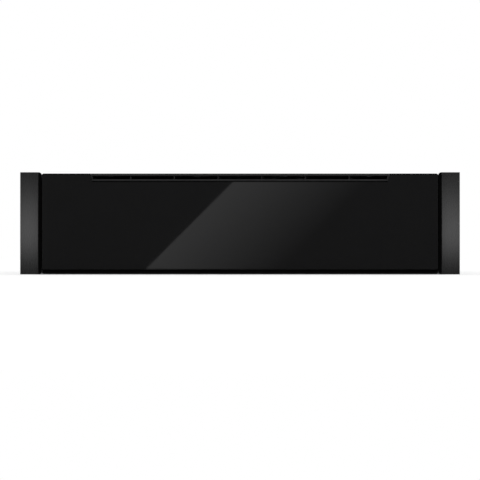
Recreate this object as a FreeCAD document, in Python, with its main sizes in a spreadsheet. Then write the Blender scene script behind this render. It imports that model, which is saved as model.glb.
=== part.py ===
import FreeCAD, Part
import math
import os

import Sketcher
from FreeCAD import Placement, Rotation, Vector

# A built-in steam drawer. X runs to the right, Y to the back, Z up. The origin lies in the middle
# of the base's front edge: Y = 0 is the cabinet's front plane and Z = 0 the shelf it stands on.

SIZES = {
    # Front: two upright trims with a glass panel between them
    "trim_overlap": 20.0,
    "front_rise": 2.7,
    "front_lift": 0.2,
    "trim_reach": 21.0,
    "strip_width": 24.5,
    "strip_thickness": 3.6,
    "strip_end_round": 0.5,
    "strip_edge_round": 0.6,
    "step_width": 3.9,
    "step_round": 3.6,
    "carrier_wall": 2.0,
    "carrier_boss": 9.0,
    "trim_screw_low": 52.0,
    "trim_screw_top_gap": 48.0,
    "panel_gap": 1.1,
    "panel_top_drop": 1.75,
    "panel_bottom_rise": 0.5,
    "panel_recess": 1.0,
    "glass_thickness": 4.0,
    "glass_rise": 5.8,
    "glass_round": 2.5,
    "pan_depth": 10.0,
    "pan_wall": 2.0,
    "pan_round": 3.0,
    "pan_rib_offset": 120.0,
    "lip_height": 2.8,
    "lip_recess": 1.0,
    "liner_sheet": 0.8,
    "liner_margin": 2.5,
    # Slotted vent insert in the top edge of the glass
    "vent_width": 406.0,
    "vent_height": 10.1,
    "vent_slant": 2.7,
    "vent_joint": 1.3,
    "vent_end_joint": 0.4,
    "vent_bar": 3.3,
    "vent_slot": 4.6,
    "vent_end_wall": 1.8,
    "vent_rib_width": 1.6,
    "vent_rib_pitch": 59.3,
    "vent_rib_count": 6,
    "vent_rib_recess": 2.4,
    "vent_rib_root": 0.5,
    "vent_edge_round": 1.2,
    "vent_slot_round": 0.4,
    "vent_pan_play": 0.1,
    # Housing
    "housing_width": 556.0,
    "housing_height": 136.0,
    "housing_depth": 530.0,
    "sheet": 1.0,
    "flange_reach": 18.0,
    "flange_end_gap": 2.4,
    "fold_height": 13.0,
    "front_fold_height": 8.0,
    "bead_count": 4,
    "bead_pitch": 120.0,
    "bead_width": 18.0,
    "bead_depth": 1.4,
    "bead_front": 80.0,
    "bead_back_gap": 70.0,
    "fold_start_gap": 4.0,
    "rear_room": 92.0,
    "bulkhead_gap": 2.0,
    "bulkhead_fold": 12.0,
    "cabinet_hole": 4.5,
    "cabinet_hole_offset": 9.5,
    "cabinet_hole_low": 28.0,
    "cabinet_hole_top_gap": 24.0,
    "louvre_length": 60.0,
    "louvre_height": 4.0,
    "louvre_pitch": 14.0,
    "louvre_count": 5,
    "louvre_low": 36.0,
    "louvre_back_gap": 14.0,
    # Fasteners
    "screw_shank": 3.5,
    "screw_head": 7.0,
    "screw_head_height": 1.4,
    "screw_play": 0.2,
    "screw_tail": 2.0,
    "fold_screw_front": 90.0,
    "fold_screw_gap": 38.0,
    "rear_screw_offset": 190.0,
    # Telescopic runners
    "runner_height": 45.0,
    "runner_width": 12.7,
    "runner_front": 4.0,
    "runner_back_gap": 14.0,
    "runner_low": 18.0,
    "runner_sheet": 1.2,
    "runner_step": 1.0,
    "ball": 2.8,
    "ball_play": 0.3,
    "ball_count": 7,
    "ball_pitch": 22.0,
    "cage_front": 130.0,
    "cage_sheet": 0.8,
    "cage_width": 5.0,
    "cage_end": 9.0,
    "cage_play": 0.1,
    "spacer_length": 7.0,
    "spacer_width": 14.0,
    "spacer_first": 36.0,
    "spacer_back_gap": 40.0,
    "spacer_count": 3,
    # Drawer frame
    "drawer_sheet": 1.5,
    "drawer_low": 16.0,
    "drawer_back_gap": 12.5,
    "deck_drop": 38.0,
    "deck_sheet": 1.0,
    "side_fold": 14.0,
    "side_screw_low": 34.0,
    "side_screw_top_gap": 17.0,
    # Steam tub and tray
    "tub_side_gap": 15.8,
    "tub_tank_gap": 22.0,
    "tub_front": 44.0,
    "tub_back_gap": 30.0,
    "tub_floor": 22.0,
    "tub_wall": 1.0,
    "tub_corner": 22.0,
    "tub_floor_round": 10.0,
    "tub_rim": 10.0,
    "tub_play": 1.5,
    "port_drop": 17.0,
    "port_width": 18.0,
    "port_bore": 14.0,
    "port_hole_play": 2.0,
    "port_seal_width": 24.0,
    "port_seal_thickness": 4.0,
    "port_seal_lip": 1.0,
    "tray_play": 6.0,
    "tray_wall": 1.0,
    "tray_height": 46.0,
    "tray_lift": 16.0,
    "tray_rim": 4.0,
    "tray_ledge": 6.0,
    "tray_floor_play": 0.5,
    "tray_foot": 10.0,
    "tray_foot_inset": 34.0,
    "tray_hole": 6.0,
    "tray_hole_pitch": 24.0,
    "tray_hole_margin": 30.0,
    # Water tank
    "tank_width": 70.0,
    "tank_side_gap": 7.8,
    "tank_front": 54.0,
    "tank_back_gap": 30.0,
    "tank_floor": 24.0,
    "tank_wall": 2.0,
    "tank_corner": 10.0,
    "tank_rim": 4.0,
    "tank_rim_thickness": 2.0,
    "tank_play": 1.0,
    "tank_lid_thickness": 2.5,
    "filler_width": 34.0,
    "filler_front": 52.0,
    "cap_width": 44.0,
    "cap_thickness": 2.0,
    "cap_skirt": 7.0,
    "cap_play": 0.4,
    "cap_grip_width": 5.0,
    "outlet_width": 18.0,
    "outlet_bore": 11.0,
    "outlet_length": 20.0,
    "outlet_hole_play": 6.0,
    "dock_height": 44.0,
    "dock_spigot": 10.0,
    "dock_bore": 5.0,
    "valve_width": 10.0,
    "valve_thickness": 2.5,
    "valve_stem": 4.0,
    "valve_stem_length": 6.0,
    "valve_play": 0.3,
    # Floating steam lid
    "lid_seal_play": 0.3,
    "lid_seal_height": 3.0,
    "lid_seal_width": 6.0,
    "lid_sheet": 1.0,
    "lid_fold_height": 8.0,
    "lid_boss": 12.0,
    "lid_boss_height": 8.0,
    "lid_bolt_inset": 60.0,
    "lid_bolt_shoulder": 7.0,
    "lid_bolt_thread": 5.0,
    "lid_bolt_head": 12.0,
    "lid_bolt_head_height": 3.0,
    "lid_bolt_drop": 2.0,
    "lid_bolt_tip_gap": 1.0,
    "rail_drop": 17.0,
    "rail_sheet": 2.0,
    "rail_width": 24.0,
    "rail_inset": 18.0,
    "rail_guide_play": 0.8,
    "rail_tab": 12.0,
    "spring_length": 120.0,
    "spring_flat": 34.0,
    "spring_width": 16.0,
    "spring_sheet": 0.6,
    "spring_foot": 1.9,
    # Controls behind the front panel
    "fascia_front": 10.0,
    "fascia_drop": 8.0,
    "fascia_height": 21.0,
    "fascia_wall": 2.5,
    "fascia_depth": 16.0,
    "knob_offset": 150.0,
    "knob_width": 17.0,
    "knob_length": 8.0,
    "knob_play": 0.5,
    "knob_edge_round": 1.0,
    "knob_shaft": 6.0,
    "shaft_depth": 3.5,
    "knob_flutes": 12,
    "flute_width": 2.2,
    "button_width": 11.0,
    "button_collar": 13.5,
    "collar_gap": 0.4,
    "collar_thickness": 1.1,
    "button_stand": 1.6,
    "button_travel": 1.5,
    "switch_gap": 0.3,
    "power_offset": 180.0,
    "start_offset": 90.0,
    "screen_width": 70.0,
    "screen_height": 11.0,
    "screen_recess": 0.5,
    "encoder_gap": 4.0,
    "encoder_floor": 1.0,
    "board_sheet": 1.6,
    "board_width": 400.0,
    "board_margin": 1.5,
    # Steam and water
    "drum_width": 64.0,
    "drum_length": 120.0,
    "drum_wall": 3.0,
    "drum_shift": 12.0,
    "drum_gap": 45.0,
    "drum_axis_height": 62.0,
    "drum_foot": 10.0,
    "drum_foot_width": 50.0,
    "element_tube": 8.0,
    "element_spread": 20.0,
    "element_length": 84.0,
    "element_end": 12.0,
    "tag_length": 8.0,
    "tag_sheet": 0.8,
    "tag_width": 6.0,
    "stub": 6.0,
    "stub_length": 10.0,
    "nozzle_width": 12.0,
    "nozzle_bore": 8.0,
    "nozzle_play": 0.8,
    "nozzle_reach": 22.0,
    "nozzle_flange": 26.0,
    "nozzle_flange_thickness": 2.0,
    "pump_width": 36.0,
    "pump_length": 60.0,
    "pump_core": 30.0,
    "pump_core_height": 44.0,
    "hose_width": 9.0,
    "hose_bend": 20.0,
    "hose_run": 27.0,
    "hose_end_gap": 1.0,
    "coupling_flange": 26.0,
    "coupling_flange_thickness": 3.0,
    "coupling_body": 16.0,
    "coupling_back": 10.0,
    # Electrics and fan
    "power_board_side_gap": 15.0,
    "power_board_width": 150.0,
    "power_board_depth": 52.0,
    "power_board_gap": 6.0,
    "power_board_lift": 7.0,
    "standoff": 6.0,
    "standoff_inset": 6.0,
    "relay_width": 18.0,
    "relay_height": 16.0,
    "relay_pitch": 30.6,
    "relay_count": 4,
    "store_height": 24.0,
    "terminal_width": 44.0,
    "terminal_depth": 26.0,
    "terminal_height": 22.0,
    "terminal_slot": 8.0,
    "terminal_slot_count": 3,
    "terminal_back_gap": 26.0,
    "gland_side_gap": 41.0,
    "gland_height": 34.0,
    "gland_thread": 16.0,
    "gland_nut": 24.0,
    "gland_nut_length": 6.0,
    "gland_dome": 20.0,
    "gland_dome_length": 10.0,
    "gland_bore": 10.0,
    "gland_cone": 3.0,
    "gland_lip": 2.0,
    "fan_width": 80.0,
    "fan_thickness": 25.0,
    "fan_side_gap": 97.0,
    "fan_height": 68.0,
    "fan_bore": 76.0,
    "fan_hub": 34.0,
    "fan_hub_length": 15.0,
    "fan_strut": 4.0,
    "fan_play": 1.5,
    "fan_blades": 7,
    "fan_shaft": 4.0,
    "fan_shaft_play": 0.06,
    "fan_shaft_gap": 1.0,
    "fan_bearing_floor": 1.0,
    "blade_sink": 2.0,
    "blade_inset": 1.0,
    "blade_sheet": 1.6,
    "blade_tip_gap": 1.0,
    "fan_hole": 6.0,
    "fan_ring_pitch": 9.5,
    "fan_rings": 4,
    # Push latch
    "latch_side_gap": 72.0,
    "latch_height": 60.0,
    "latch_body": 15.0,
    "latch_length": 48.0,
    "latch_floor": 3.0,
    "latch_flange": 24.0,
    "latch_flange_thickness": 2.0,
    "plunger": 9.0,
    "plunger_play": 0.1,
    "plunger_length": 40.0,
    "push_gap": 3.4,
}


class Size:
    """A number together with the sheet expression that gives it."""

    def __init__(self, text, value):
        self.text = text
        self.value = value

    def __add__(self, other):
        return Size(f"({self.text} + {text_of(other)})", self.value + value_of(other))

    def __radd__(self, other):
        return Size(f"({text_of(other)} + {self.text})", value_of(other) + self.value)

    def __sub__(self, other):
        return Size(f"({self.text} - {text_of(other)})", self.value - value_of(other))

    def __rsub__(self, other):
        return Size(f"({text_of(other)} - {self.text})", value_of(other) - self.value)

    def __mul__(self, other):
        return Size(f"({self.text} * {text_of(other)})", self.value * value_of(other))

    __rmul__ = __mul__

    def __truediv__(self, other):
        return Size(f"({self.text} / {text_of(other)})", self.value / value_of(other))

    def __neg__(self):
        return Size(f"(0 - {self.text})", -self.value)


def text_of(size):
    return size.text if isinstance(size, Size) else repr(float(size))


def value_of(size):
    return size.value if isinstance(size, Size) else float(size)


def whole(size):
    """A size rounded down, for the number of copies that fit."""
    return Size(f"floor({size.text})", float(math.floor(size.value)))


class Sizes:
    """Every named size of the sheet, ready for use in expressions."""


doc = FreeCAD.newDocument("steam_drawer")
sheet = doc.addObject("Spreadsheet::Sheet", "Sizes")
s = Sizes()
for row, (alias, number) in enumerate(SIZES.items(), 1):
    sheet.set(f"A{row}", alias.replace("_", " "))
    sheet.set(f"B{row}", str(number))
    sheet.setAlias(f"B{row}", alias)
    setattr(s, alias, Size(f"Sizes.{alias}", float(number)))
doc.recompute()

NODES = []
SIDES = (("left", -1), ("right", 1))
TURNS = {
    "X": Rotation(Vector(0, 1, 0), 90),
    "Y": Rotation(Vector(1, 0, 0), -90),
    "Z": Rotation(),
}
DIRECTIONS = {"X": Vector(1, 0, 0), "Y": Vector(0, 1, 0), "Z": Vector(0, 0, 1)}
PAIR = Size("2", 2)
# How well an edge follows an axis, and how close it lies to a level, to count as along it or on it
STRAIGHT = 0.999
CLOSE = 0.01


# Modelling helpers: plain solids bound to the sheet

def bind(obj, prop, size):
    obj.setExpression(prop, text_of(size))


def move(obj, x, y, z):
    bind(obj, "Placement.Base.x", x)
    bind(obj, "Placement.Base.y", y)
    bind(obj, "Placement.Base.z", z)


def node(label, obj):
    obj.Label = label
    NODES.append(obj)
    return obj


def across(sign, near, far):
    """The extent between two distances from the middle, on the left or the right side."""
    return (near, far) if sign > 0 else (-far, -near)


def block(name, x, y, z):
    box = doc.addObject("Part::Box", name)
    bind(box, "Length", x[1] - x[0])
    bind(box, "Width", y[1] - y[0])
    bind(box, "Height", z[1] - z[0])
    move(box, x[0], y[0], z[0])
    return box


def rod(name, axis, width, start, length):
    cylinder = doc.addObject("Part::Cylinder", name)
    cylinder.Placement = Placement(Vector(), TURNS[axis])
    bind(cylinder, "Radius", width / 2)
    bind(cylinder, "Height", length)
    move(cylinder, *start)
    return cylinder


def join(name, *pieces):
    fused = doc.addObject("Part::MultiFuse", name)
    fused.Shapes = list(pieces)
    fused.Refine = True
    return fused


def cut(name, base, *tools):
    result = doc.addObject("Part::Cut", name)
    result.Base = base
    result.Tool = tools[0] if len(tools) == 1 else join(name + "_tools", *tools)
    return result


def group(name, *pieces):
    compound = doc.addObject("Part::Compound", name)
    compound.Links = list(pieces)
    return compound


def lines_along(shape, axis, test):
    """Numbers of the straight edges along an axis whose middle passes the test."""
    found = []
    for index, edge in enumerate(shape.Edges, 1):
        if not isinstance(edge.Curve, Part.Line):
            continue
        if abs(edge.tangentAt(edge.FirstParameter).dot(DIRECTIONS[axis])) < STRAIGHT:
            continue
        if test(edge.CenterOfMass):
            found.append(index)
    return found


def edges_in_plane(shape, axis, level):
    """Numbers of the edges that lie wholly at one level of an axis."""
    found = []
    for index, edge in enumerate(shape.Edges, 1):
        box = edge.BoundBox
        low, high = {"X": (box.XMin, box.XMax), "Y": (box.YMin, box.YMax), "Z": (box.ZMin, box.ZMax)}[
            axis]
        if near(low, level) and near(high, level):
            found.append(index)
    return found


def rounded(name, base, radius, axis, test):
    doc.recompute()
    fillet = doc.addObject("Part::Fillet", name)
    fillet.Base = base
    fillet.Edges = [
        (i, value_of(radius), value_of(radius)) for i in lines_along(base.Shape, axis, test)]
    return fillet


def near(coordinate, level):
    return abs(coordinate - value_of(level)) < CLOSE


# Modelling helpers: bodies built from sketches

def new_body(label, x=0, y=0, z=0):
    body = doc.addObject("PartDesign::Body", label)
    move(body, x, y, z)
    return node(label, body)


def datum(body, role):
    return next(item for item in body.Origin.OriginFeatures if item.Role == role)


def new_sketch(body, role, offset=0):
    sketch = body.newObject("Sketcher::SketchObject", body.Name + "_sketch")
    sketch.AttachmentSupport = [(datum(body, role), "")]
    sketch.MapMode = "FlatFace"
    bind(sketch, "AttachmentOffset.Base.z", offset)
    return sketch


def fix_point(sketch, geometry, vertex, u, v):
    for kind, size in (("DistanceX", u), ("DistanceY", v)):
        index = sketch.addConstraint(Sketcher.Constraint(kind, -1, 1, geometry, vertex, value_of(size)))
        sketch.setExpression(f"Constraints[{index}]", text_of(size))


def polygon(body, role, points, offset=0):
    sketch = new_sketch(body, role, offset)
    corners = [Vector(value_of(u), value_of(v), 0) for u, v in points]
    count = len(points)
    for i in range(count):
        sketch.addGeometry(Part.LineSegment(corners[i], corners[(i + 1) % count]))
    for i in range(count):
        sketch.addConstraint(Sketcher.Constraint("Coincident", i, 2, (i + 1) % count, 1))
    for i, (u, v) in enumerate(points):
        fix_point(sketch, i, 1, u, v)
    return sketch


def rectangle(body, role, u, v, offset=0):
    return polygon(body, role, [(u[0], v[0]), (u[1], v[0]), (u[1], v[1]), (u[0], v[1])], offset)


def circle(body, role, u, v, width, offset=0):
    sketch = new_sketch(body, role, offset)
    middle = Vector(value_of(u), value_of(v), 0)
    sketch.addGeometry(Part.Circle(middle, Vector(0, 0, 1), value_of(width) / 2))
    fix_point(sketch, 0, 3, u, v)
    index = sketch.addConstraint(Sketcher.Constraint("Diameter", 0, value_of(width)))
    sketch.setExpression(f"Constraints[{index}]", text_of(width))
    return sketch


def pad(body, sketch, length, backward=False):
    feature = body.newObject("PartDesign::Pad", body.Name + "_pad")
    feature.Profile = sketch
    bind(feature, "Length", length)
    feature.Reversed = backward
    return feature


def pocket(body, sketch, length=None, backward=False):
    """A pocket of a given depth, or right through both ways when no depth is given."""
    feature = body.newObject("PartDesign::Pocket", body.Name + "_pocket")
    feature.Profile = sketch
    if length is None:
        feature.Type = "ThroughAll"
        feature.SideType = "Symmetric"
    else:
        bind(feature, "Length", length)
        feature.Reversed = backward
    return feature


def revolve(body, sketch, role):
    feature = body.newObject("PartDesign::Revolution", body.Name + "_turn")
    feature.Profile = sketch
    feature.ReferenceAxis = (datum(body, role), [""])
    feature.Angle = 360
    return feature


def fillet(body, radius, numbers_of):
    doc.recompute()
    base = body.Tip
    feature = body.newObject("PartDesign::Fillet", body.Name + "_fillet")
    feature.Base = (base, [f"Edge{i}" for i in numbers_of(base.Shape)])
    bind(feature, "Radius", radius)
    return feature


def linear(body, original, role, pitch, count, second=None):
    """Copies in a row, or in a grid when a second role, pitch and count are given."""
    pattern = body.newObject("PartDesign::LinearPattern", body.Name + "_row")
    pattern.Originals = [original]
    pattern.Direction = (datum(body, role), [""])
    bind(pattern, "Length", pitch * (count - 1))
    bind(pattern, "Occurrences", count)
    if second:
        pattern.Direction2 = (datum(body, second[0]), [""])
        bind(pattern, "Length2", second[1] * (second[2] - 1))
        bind(pattern, "Occurrences2", second[2])
    body.Tip = pattern
    return pattern


def polar(body, original, role, count):
    pattern = body.newObject("PartDesign::PolarPattern", body.Name + "_ring")
    pattern.Originals = [original]
    pattern.Axis = (datum(body, role), [""])
    pattern.Angle = 360
    bind(pattern, "Occurrences", count)
    body.Tip = pattern
    return pattern


def round_rectangle(body, role, u, v, corner, offset=0):
    sketch = new_sketch(body, role, offset)
    near_u, far_u = u[0] + corner, u[1] - corner
    near_v, far_v = v[0] + corner, v[1] - corner
    sides = [
        ((near_u, v[0]), (far_u, v[0])),
        ((u[1], near_v), (u[1], far_v)),
        ((far_u, v[1]), (near_u, v[1])),
        ((u[0], far_v), (u[0], near_v)),
    ]
    middles = [(far_u, near_v), (far_u, far_v), (near_u, far_v), (near_u, near_v)]
    for (start, end), middle in zip(sides, middles):
        sketch.addGeometry(
            Part.LineSegment(*(Vector(value_of(a), value_of(b), 0) for a, b in (start, end))))
    for i, (a, b) in enumerate(middles):
        ring = Part.Circle(Vector(value_of(a), value_of(b), 0), Vector(0, 0, 1), value_of(corner))
        sketch.addGeometry(Part.ArcOfCircle(ring, (i - 1) * math.pi / 2, i * math.pi / 2))
    for i, (start, end) in enumerate(sides):
        fix_point(sketch, i, 1, *start)
        fix_point(sketch, i, 2, *end)
    for i in range(4):
        sketch.addConstraint(Sketcher.Constraint("Coincident", i, 2, 4 + i, 1))
        sketch.addConstraint(Sketcher.Constraint("Coincident", 4 + i, 2, (i + 1) % 4, 1))
        index = sketch.addConstraint(Sketcher.Constraint("Radius", 4 + i, value_of(corner)))
        sketch.setExpression(f"Constraints[{index}]", text_of(corner))
    return sketch


def rounded_box(body, x, y, height, corner, low=0):
    """A pad with rounded upright corners, standing on a level of the body."""
    return pad(body, round_rectangle(body, "XY_Plane", x, y, corner, low), height)


# Modelling helpers: groups of equal fasteners and bent tubes, whose shapes are set directly

def screws_at(places, shank_length):
    """Screws, each placed by the underside of its head and the way its tip points."""
    screws = []
    for (x, y, z), direction in places:
        top = Part.makeCylinder(
            s.screw_head.value / 2, s.screw_head_height.value, Vector(), Vector(0, 0, -1))
        stem = Part.makeCylinder(s.screw_shank.value / 2, value_of(shank_length))
        screw = top.fuse(stem)
        spot = Vector(value_of(x), value_of(y), value_of(z))
        screw.Placement = Placement(spot, Rotation(Vector(0, 0, 1), direction))
        screws.append(screw)
    return screws


def solids_node(label, solids):
    feature = doc.addObject("Part::Feature", label)
    feature.Shape = Part.makeCompound(solids)
    return node(label, feature)


def tube_along(path, width):
    """A round bar swept along a wire of lines and tangent arcs."""
    first = path.Edges[0]
    start = first.valueAt(first.FirstParameter)
    way = first.tangentAt(first.FirstParameter)
    ring = Part.Wire([Part.makeCircle(value_of(width) / 2, start, way)])
    return path.makePipeShell([ring], True, False)


# Reference levels shared by the pieces: the front follows the housing, and the housing's contents
# hang from its top, stand on its base or keep a gap to its walls

wall_out = s.housing_width / 2
wall_in = wall_out - s.sheet
top_in = s.housing_height - s.sheet
rear_in = s.housing_depth - s.sheet
bay_depth = s.housing_depth - s.rear_room
bulkhead_back = bay_depth + s.sheet
bulkhead_top = top_in - s.fold_height - s.bulkhead_gap
fold_top = s.sheet + s.fold_height

front_half = wall_out + s.trim_overlap
trim_low = s.front_lift
trim_high = s.housing_height + s.front_rise
trim_screw_high = s.housing_height - s.trim_screw_top_gap
cabinet_hole_high = s.housing_height - s.cabinet_hole_top_gap
strip_inner = front_half - s.strip_width
step_inner = strip_inner - s.step_width
panel_half = step_inner - s.panel_gap
panel_low = trim_low + s.panel_bottom_rise
panel_high = trim_high - s.panel_top_drop
glass_low = panel_low + s.glass_rise
strip_back = s.strip_thickness - s.trim_reach
panel_face = s.panel_recess - s.trim_reach
glass_back = panel_face + s.glass_thickness
pan_back = glass_back + s.pan_depth
liner_back = pan_back + s.liner_sheet

runner_out = wall_in - s.spacer_length
runner_in = runner_out - s.runner_width
runner_back = bay_depth - s.runner_back_gap
runner_length = runner_back - s.runner_front
runner_high = s.runner_low + s.runner_height
runner_middle = s.runner_low + s.runner_height / 2
spacer_pitch = (runner_back - s.spacer_back_gap - s.spacer_first) / (s.spacer_count - 1)
race = s.ball + 2 * s.ball_play

side_in = runner_in - s.drawer_sheet
drawer_depth = bay_depth - s.drawer_back_gap
back_front = drawer_depth - s.drawer_sheet
deck_height = top_in - s.deck_drop
deck_top = deck_height + s.deck_sheet
side_screw_high = deck_height - s.side_screw_top_gap

tank_x = side_in - s.tank_side_gap - s.tank_width / 2
tank_back = back_front - s.tank_back_gap
tank_length = tank_back - s.tank_front
tub_left = s.tub_side_gap - side_in
tub_right = tank_x - s.tank_width / 2 - s.tub_tank_gap
tub_width = tub_right - tub_left
tub_x = (tub_left + tub_right) / 2
tub_back = back_front - s.tub_back_gap
tub_length = tub_back - s.tub_front
tub_middle = (s.tub_front + tub_back) / 2
port_height = deck_height - s.port_drop

rim_top = deck_top + s.tub_wall
seal_low = rim_top + s.lid_seal_play
lid_low = seal_low + s.lid_seal_height
lid_top = lid_low + s.lid_sheet
rail_low = top_in - s.rail_drop
rail_top = rail_low + s.rail_sheet
rail_front = s.tub_front + s.rail_inset
rail_back = tub_back - s.rail_inset
fascia_high = top_in - s.fascia_drop
fascia_low = fascia_high - s.fascia_height
fascia_middle = fascia_low + s.fascia_height / 2
fascia_rear = s.fascia_front + s.fascia_wall
fascia_back = s.fascia_front + s.fascia_depth

drum_x = tub_x + s.drum_shift
drum_y = bulkhead_back + s.drum_gap
pump_right = tank_x - s.hose_bend - s.hose_run
pump_left = pump_right - s.pump_length
power_left = s.power_board_side_gap - wall_in
gland_x = wall_in - s.gland_side_gap
fan_x = s.fan_side_gap - wall_in
latch_x = s.latch_side_gap - wall_in
screw_hole = s.screw_shank + s.screw_play


# Screw positions on the side walls, as distances back and up

fold_screw_back = bay_depth - s.fold_screw_gap
BASE_FOLD_SCREWS = [
    (s.fold_screw_front, s.sheet + s.fold_height / 2), (fold_screw_back, s.sheet + s.fold_height / 2)]
TOP_FOLD_SCREWS = [
    (s.fold_screw_front, top_in - s.fold_height / 2), (fold_screw_back, top_in - s.fold_height / 2)]
RAIL_SCREWS = [(rail_front, rail_low - s.rail_tab / 2), (rail_back, rail_low - s.rail_tab / 2)]
FASCIA_SCREWS = [(s.fascia_front + s.fascia_depth / 2, fascia_middle)]
BULKHEAD_SCREWS = [
    (bulkhead_back + s.bulkhead_fold / 2, s.dock_height),
    (bulkhead_back + s.bulkhead_fold / 2, port_height)]
RUNNER_SCREWS = [
    (s.spacer_first + i * spacer_pitch, runner_middle) for i in range(int(s.spacer_count.value))]
WALL_SCREWS = BASE_FOLD_SCREWS + TOP_FOLD_SCREWS + RAIL_SCREWS + FASCIA_SCREWS + BULKHEAD_SCREWS
REAR_SCREWS = [(i * s.rear_screw_offset, level) for i in (-1, 0, 1)
               for level in (s.sheet + s.fold_height / 2, top_in - s.fold_height / 2)]


def wall_holes(name, sign, x, places):
    """Screw holes across an upright sheet that lies against a side wall."""
    low, high = across(sign, *x)
    return [
        rod(f"{name}_{i}", "X", screw_hole, (low, y, z), high - low) for i, (y, z) in enumerate(places)]


def rear_holes(name, y, places):
    return [
        rod(f"{name}_{i}", "Y", screw_hole, (x, y[0], z), y[1] - y[0]) for i,
        (x, z) in enumerate(places)]


# Housing: folded steel sheet screwed together, open at the front

base_plate = block("base_plate", (-wall_in, wall_in), (0, rear_in), (0, s.sheet))
base_front = block(
    "base_front", (-wall_in, wall_in), (0, s.sheet), (s.sheet, s.sheet + s.front_fold_height))
base_rear = block(
    "base_rear", (s.sheet - wall_in, wall_in - s.sheet), (rear_in - s.sheet, rear_in),
    (s.sheet, fold_top))
base_folds = []
base_holes = rear_holes("base_rear_hole", (rear_in - s.sheet, rear_in), REAR_SCREWS[0::2])
for side, sign in SIDES:
    fold = (wall_in - s.sheet, wall_in)
    base_folds.append(
        block(f"base_fold_{side}", across(sign, *fold), (0, bay_depth), (s.sheet, fold_top)))
    base_holes += wall_holes(f"base_hole_{side}", sign, fold, BASE_FOLD_SCREWS)
base_shell = join("base_shell", base_plate, base_front, base_rear, *base_folds)
node("housing_base", cut("base_drilled", base_shell, *base_holes))

top_plate = block("top_plate", (-wall_in, wall_in), (s.sheet, rear_in), (top_in, s.housing_height))
top_rear = block(
    "top_rear", (s.sheet - wall_in, wall_in - s.sheet), (rear_in - s.sheet, rear_in),
    (top_in - s.fold_height, top_in))
top_folds = []
top_holes = rear_holes("top_rear_hole", (rear_in - s.sheet, rear_in), REAR_SCREWS[1::2])
for side, sign in SIDES:
    fold = (wall_in - s.sheet, wall_in)
    top_folds.append(
        block(
            f"top_fold_{side}", across(sign, *fold), (fascia_back + s.fold_start_gap, rear_in),
            (top_in - s.fold_height, top_in)))
    top_holes += wall_holes(f"top_hole_{side}", sign, fold, TOP_FOLD_SCREWS)
bead_back = rear_in - s.bead_back_gap


def pressed_bead(name, x, width, level):
    """A long shape with round ends, one side of a stiffening bead pressed down into the top."""
    front = s.bead_front + s.bead_width / 2
    back = bead_back - s.bead_width / 2
    return [
        block(name, (x - width / 2, x + width / 2), (front, back), (level, level + s.bead_depth)),
        rod(f"{name}_front", "Z", width, (x, front, level), s.bead_depth),
        rod(f"{name}_back", "Z", width, (x, back, level), s.bead_depth)]


bead_ridges = []
for i in range(int(s.bead_count.value)):
    bead_x = s.bead_pitch * (i - (s.bead_count - 1) / 2)
    bead_ridges += pressed_bead(f"bead_ridge_{i}", bead_x, s.bead_width, top_in - s.bead_depth)
    top_holes += pressed_bead(
        f"bead_groove_{i}", bead_x, s.bead_width - 2 * s.sheet, s.housing_height - s.bead_depth)
top_shell = join("top_shell", top_plate, top_rear, *top_folds, *bead_ridges)
node("housing_top", cut("top_drilled", top_shell, *top_holes))

for side, sign in SIDES:
    wall = block(
        f"wall_{side}", across(sign, wall_in, wall_out), (-s.sheet, s.housing_depth),
        (0, s.housing_height))
    flange = block(
        f"flange_{side}", across(sign, wall_in, wall_out + s.flange_reach), (-s.sheet, 0),
        (trim_low + s.flange_end_gap, s.housing_height - s.flange_end_gap))
    openings = wall_holes(f"wall_hole_{side}", sign, (wall_in, wall_out), WALL_SCREWS + RUNNER_SCREWS)
    hole_x = sign * (wall_out + s.cabinet_hole_offset)
    for i, z in enumerate((s.cabinet_hole_low, cabinet_hole_high)):
        openings.append(
            rod(f"cabinet_hole_{side}_{i}", "Y", s.cabinet_hole, (hole_x, -s.sheet, z), s.sheet))
    screw_x = sign * (step_inner + front_half) / 2
    for i, z in enumerate((s.trim_screw_low, trim_screw_high)):
        openings.append(rod(f"trim_hole_{side}_{i}", "Y", screw_hole, (screw_x, -s.sheet, z), s.sheet))
    slot_back = rear_in - s.louvre_back_gap
    for i in range(int(s.louvre_count.value)):
        slot_low = s.louvre_low + i * s.louvre_pitch
        openings.append(block(
            f"wall_slot_{side}_{i}", across(sign, wall_in, wall_out), (
                slot_back - s.louvre_length, slot_back),
            (slot_low, slot_low + s.louvre_height)))
    node(
        f"housing_side_{side}",
        cut(f"wall_drilled_{side}", join(f"wall_shell_{side}", wall, flange), *openings))

rear_plate = block("rear_plate", (-wall_in, wall_in), (rear_in, s.housing_depth), (0, s.housing_height))
rear_openings = rear_holes("rear_hole", (rear_in, s.housing_depth), REAR_SCREWS)
rear_openings.append(
    rod("gland_hole", "Y", s.gland_thread + s.screw_play, (gland_x, rear_in, s.gland_height), s.sheet))
FIRST_RING_HOLES = 6
for ring in range(int(s.fan_rings.value)):
    ring_holes = max(1, FIRST_RING_HOLES * ring)
    for i in range(ring_holes):
        angle = math.tau * i / ring_holes
        rear_openings.append(rod(
            f"fan_hole_{ring}_{i}", "Y", s.fan_hole,
            (fan_x + ring * math.sin(angle) * s.fan_ring_pitch, rear_in,
             s.fan_height + ring * math.cos(angle) * s.fan_ring_pitch), s.sheet))
for i in range(int(s.louvre_count.value)):
    slot_low = s.louvre_low + i * s.louvre_pitch
    for column in (0, 1):
        slot_left = drum_x + column * (s.louvre_length + s.louvre_pitch)
        rear_openings.append(block(
            f"rear_slot_{i}_{column}", (slot_left, slot_left + s.louvre_length), (
                rear_in, s.housing_depth),
            (slot_low, slot_low + s.louvre_height)))
node("housing_rear", cut("rear_drilled", rear_plate, *rear_openings))

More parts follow.
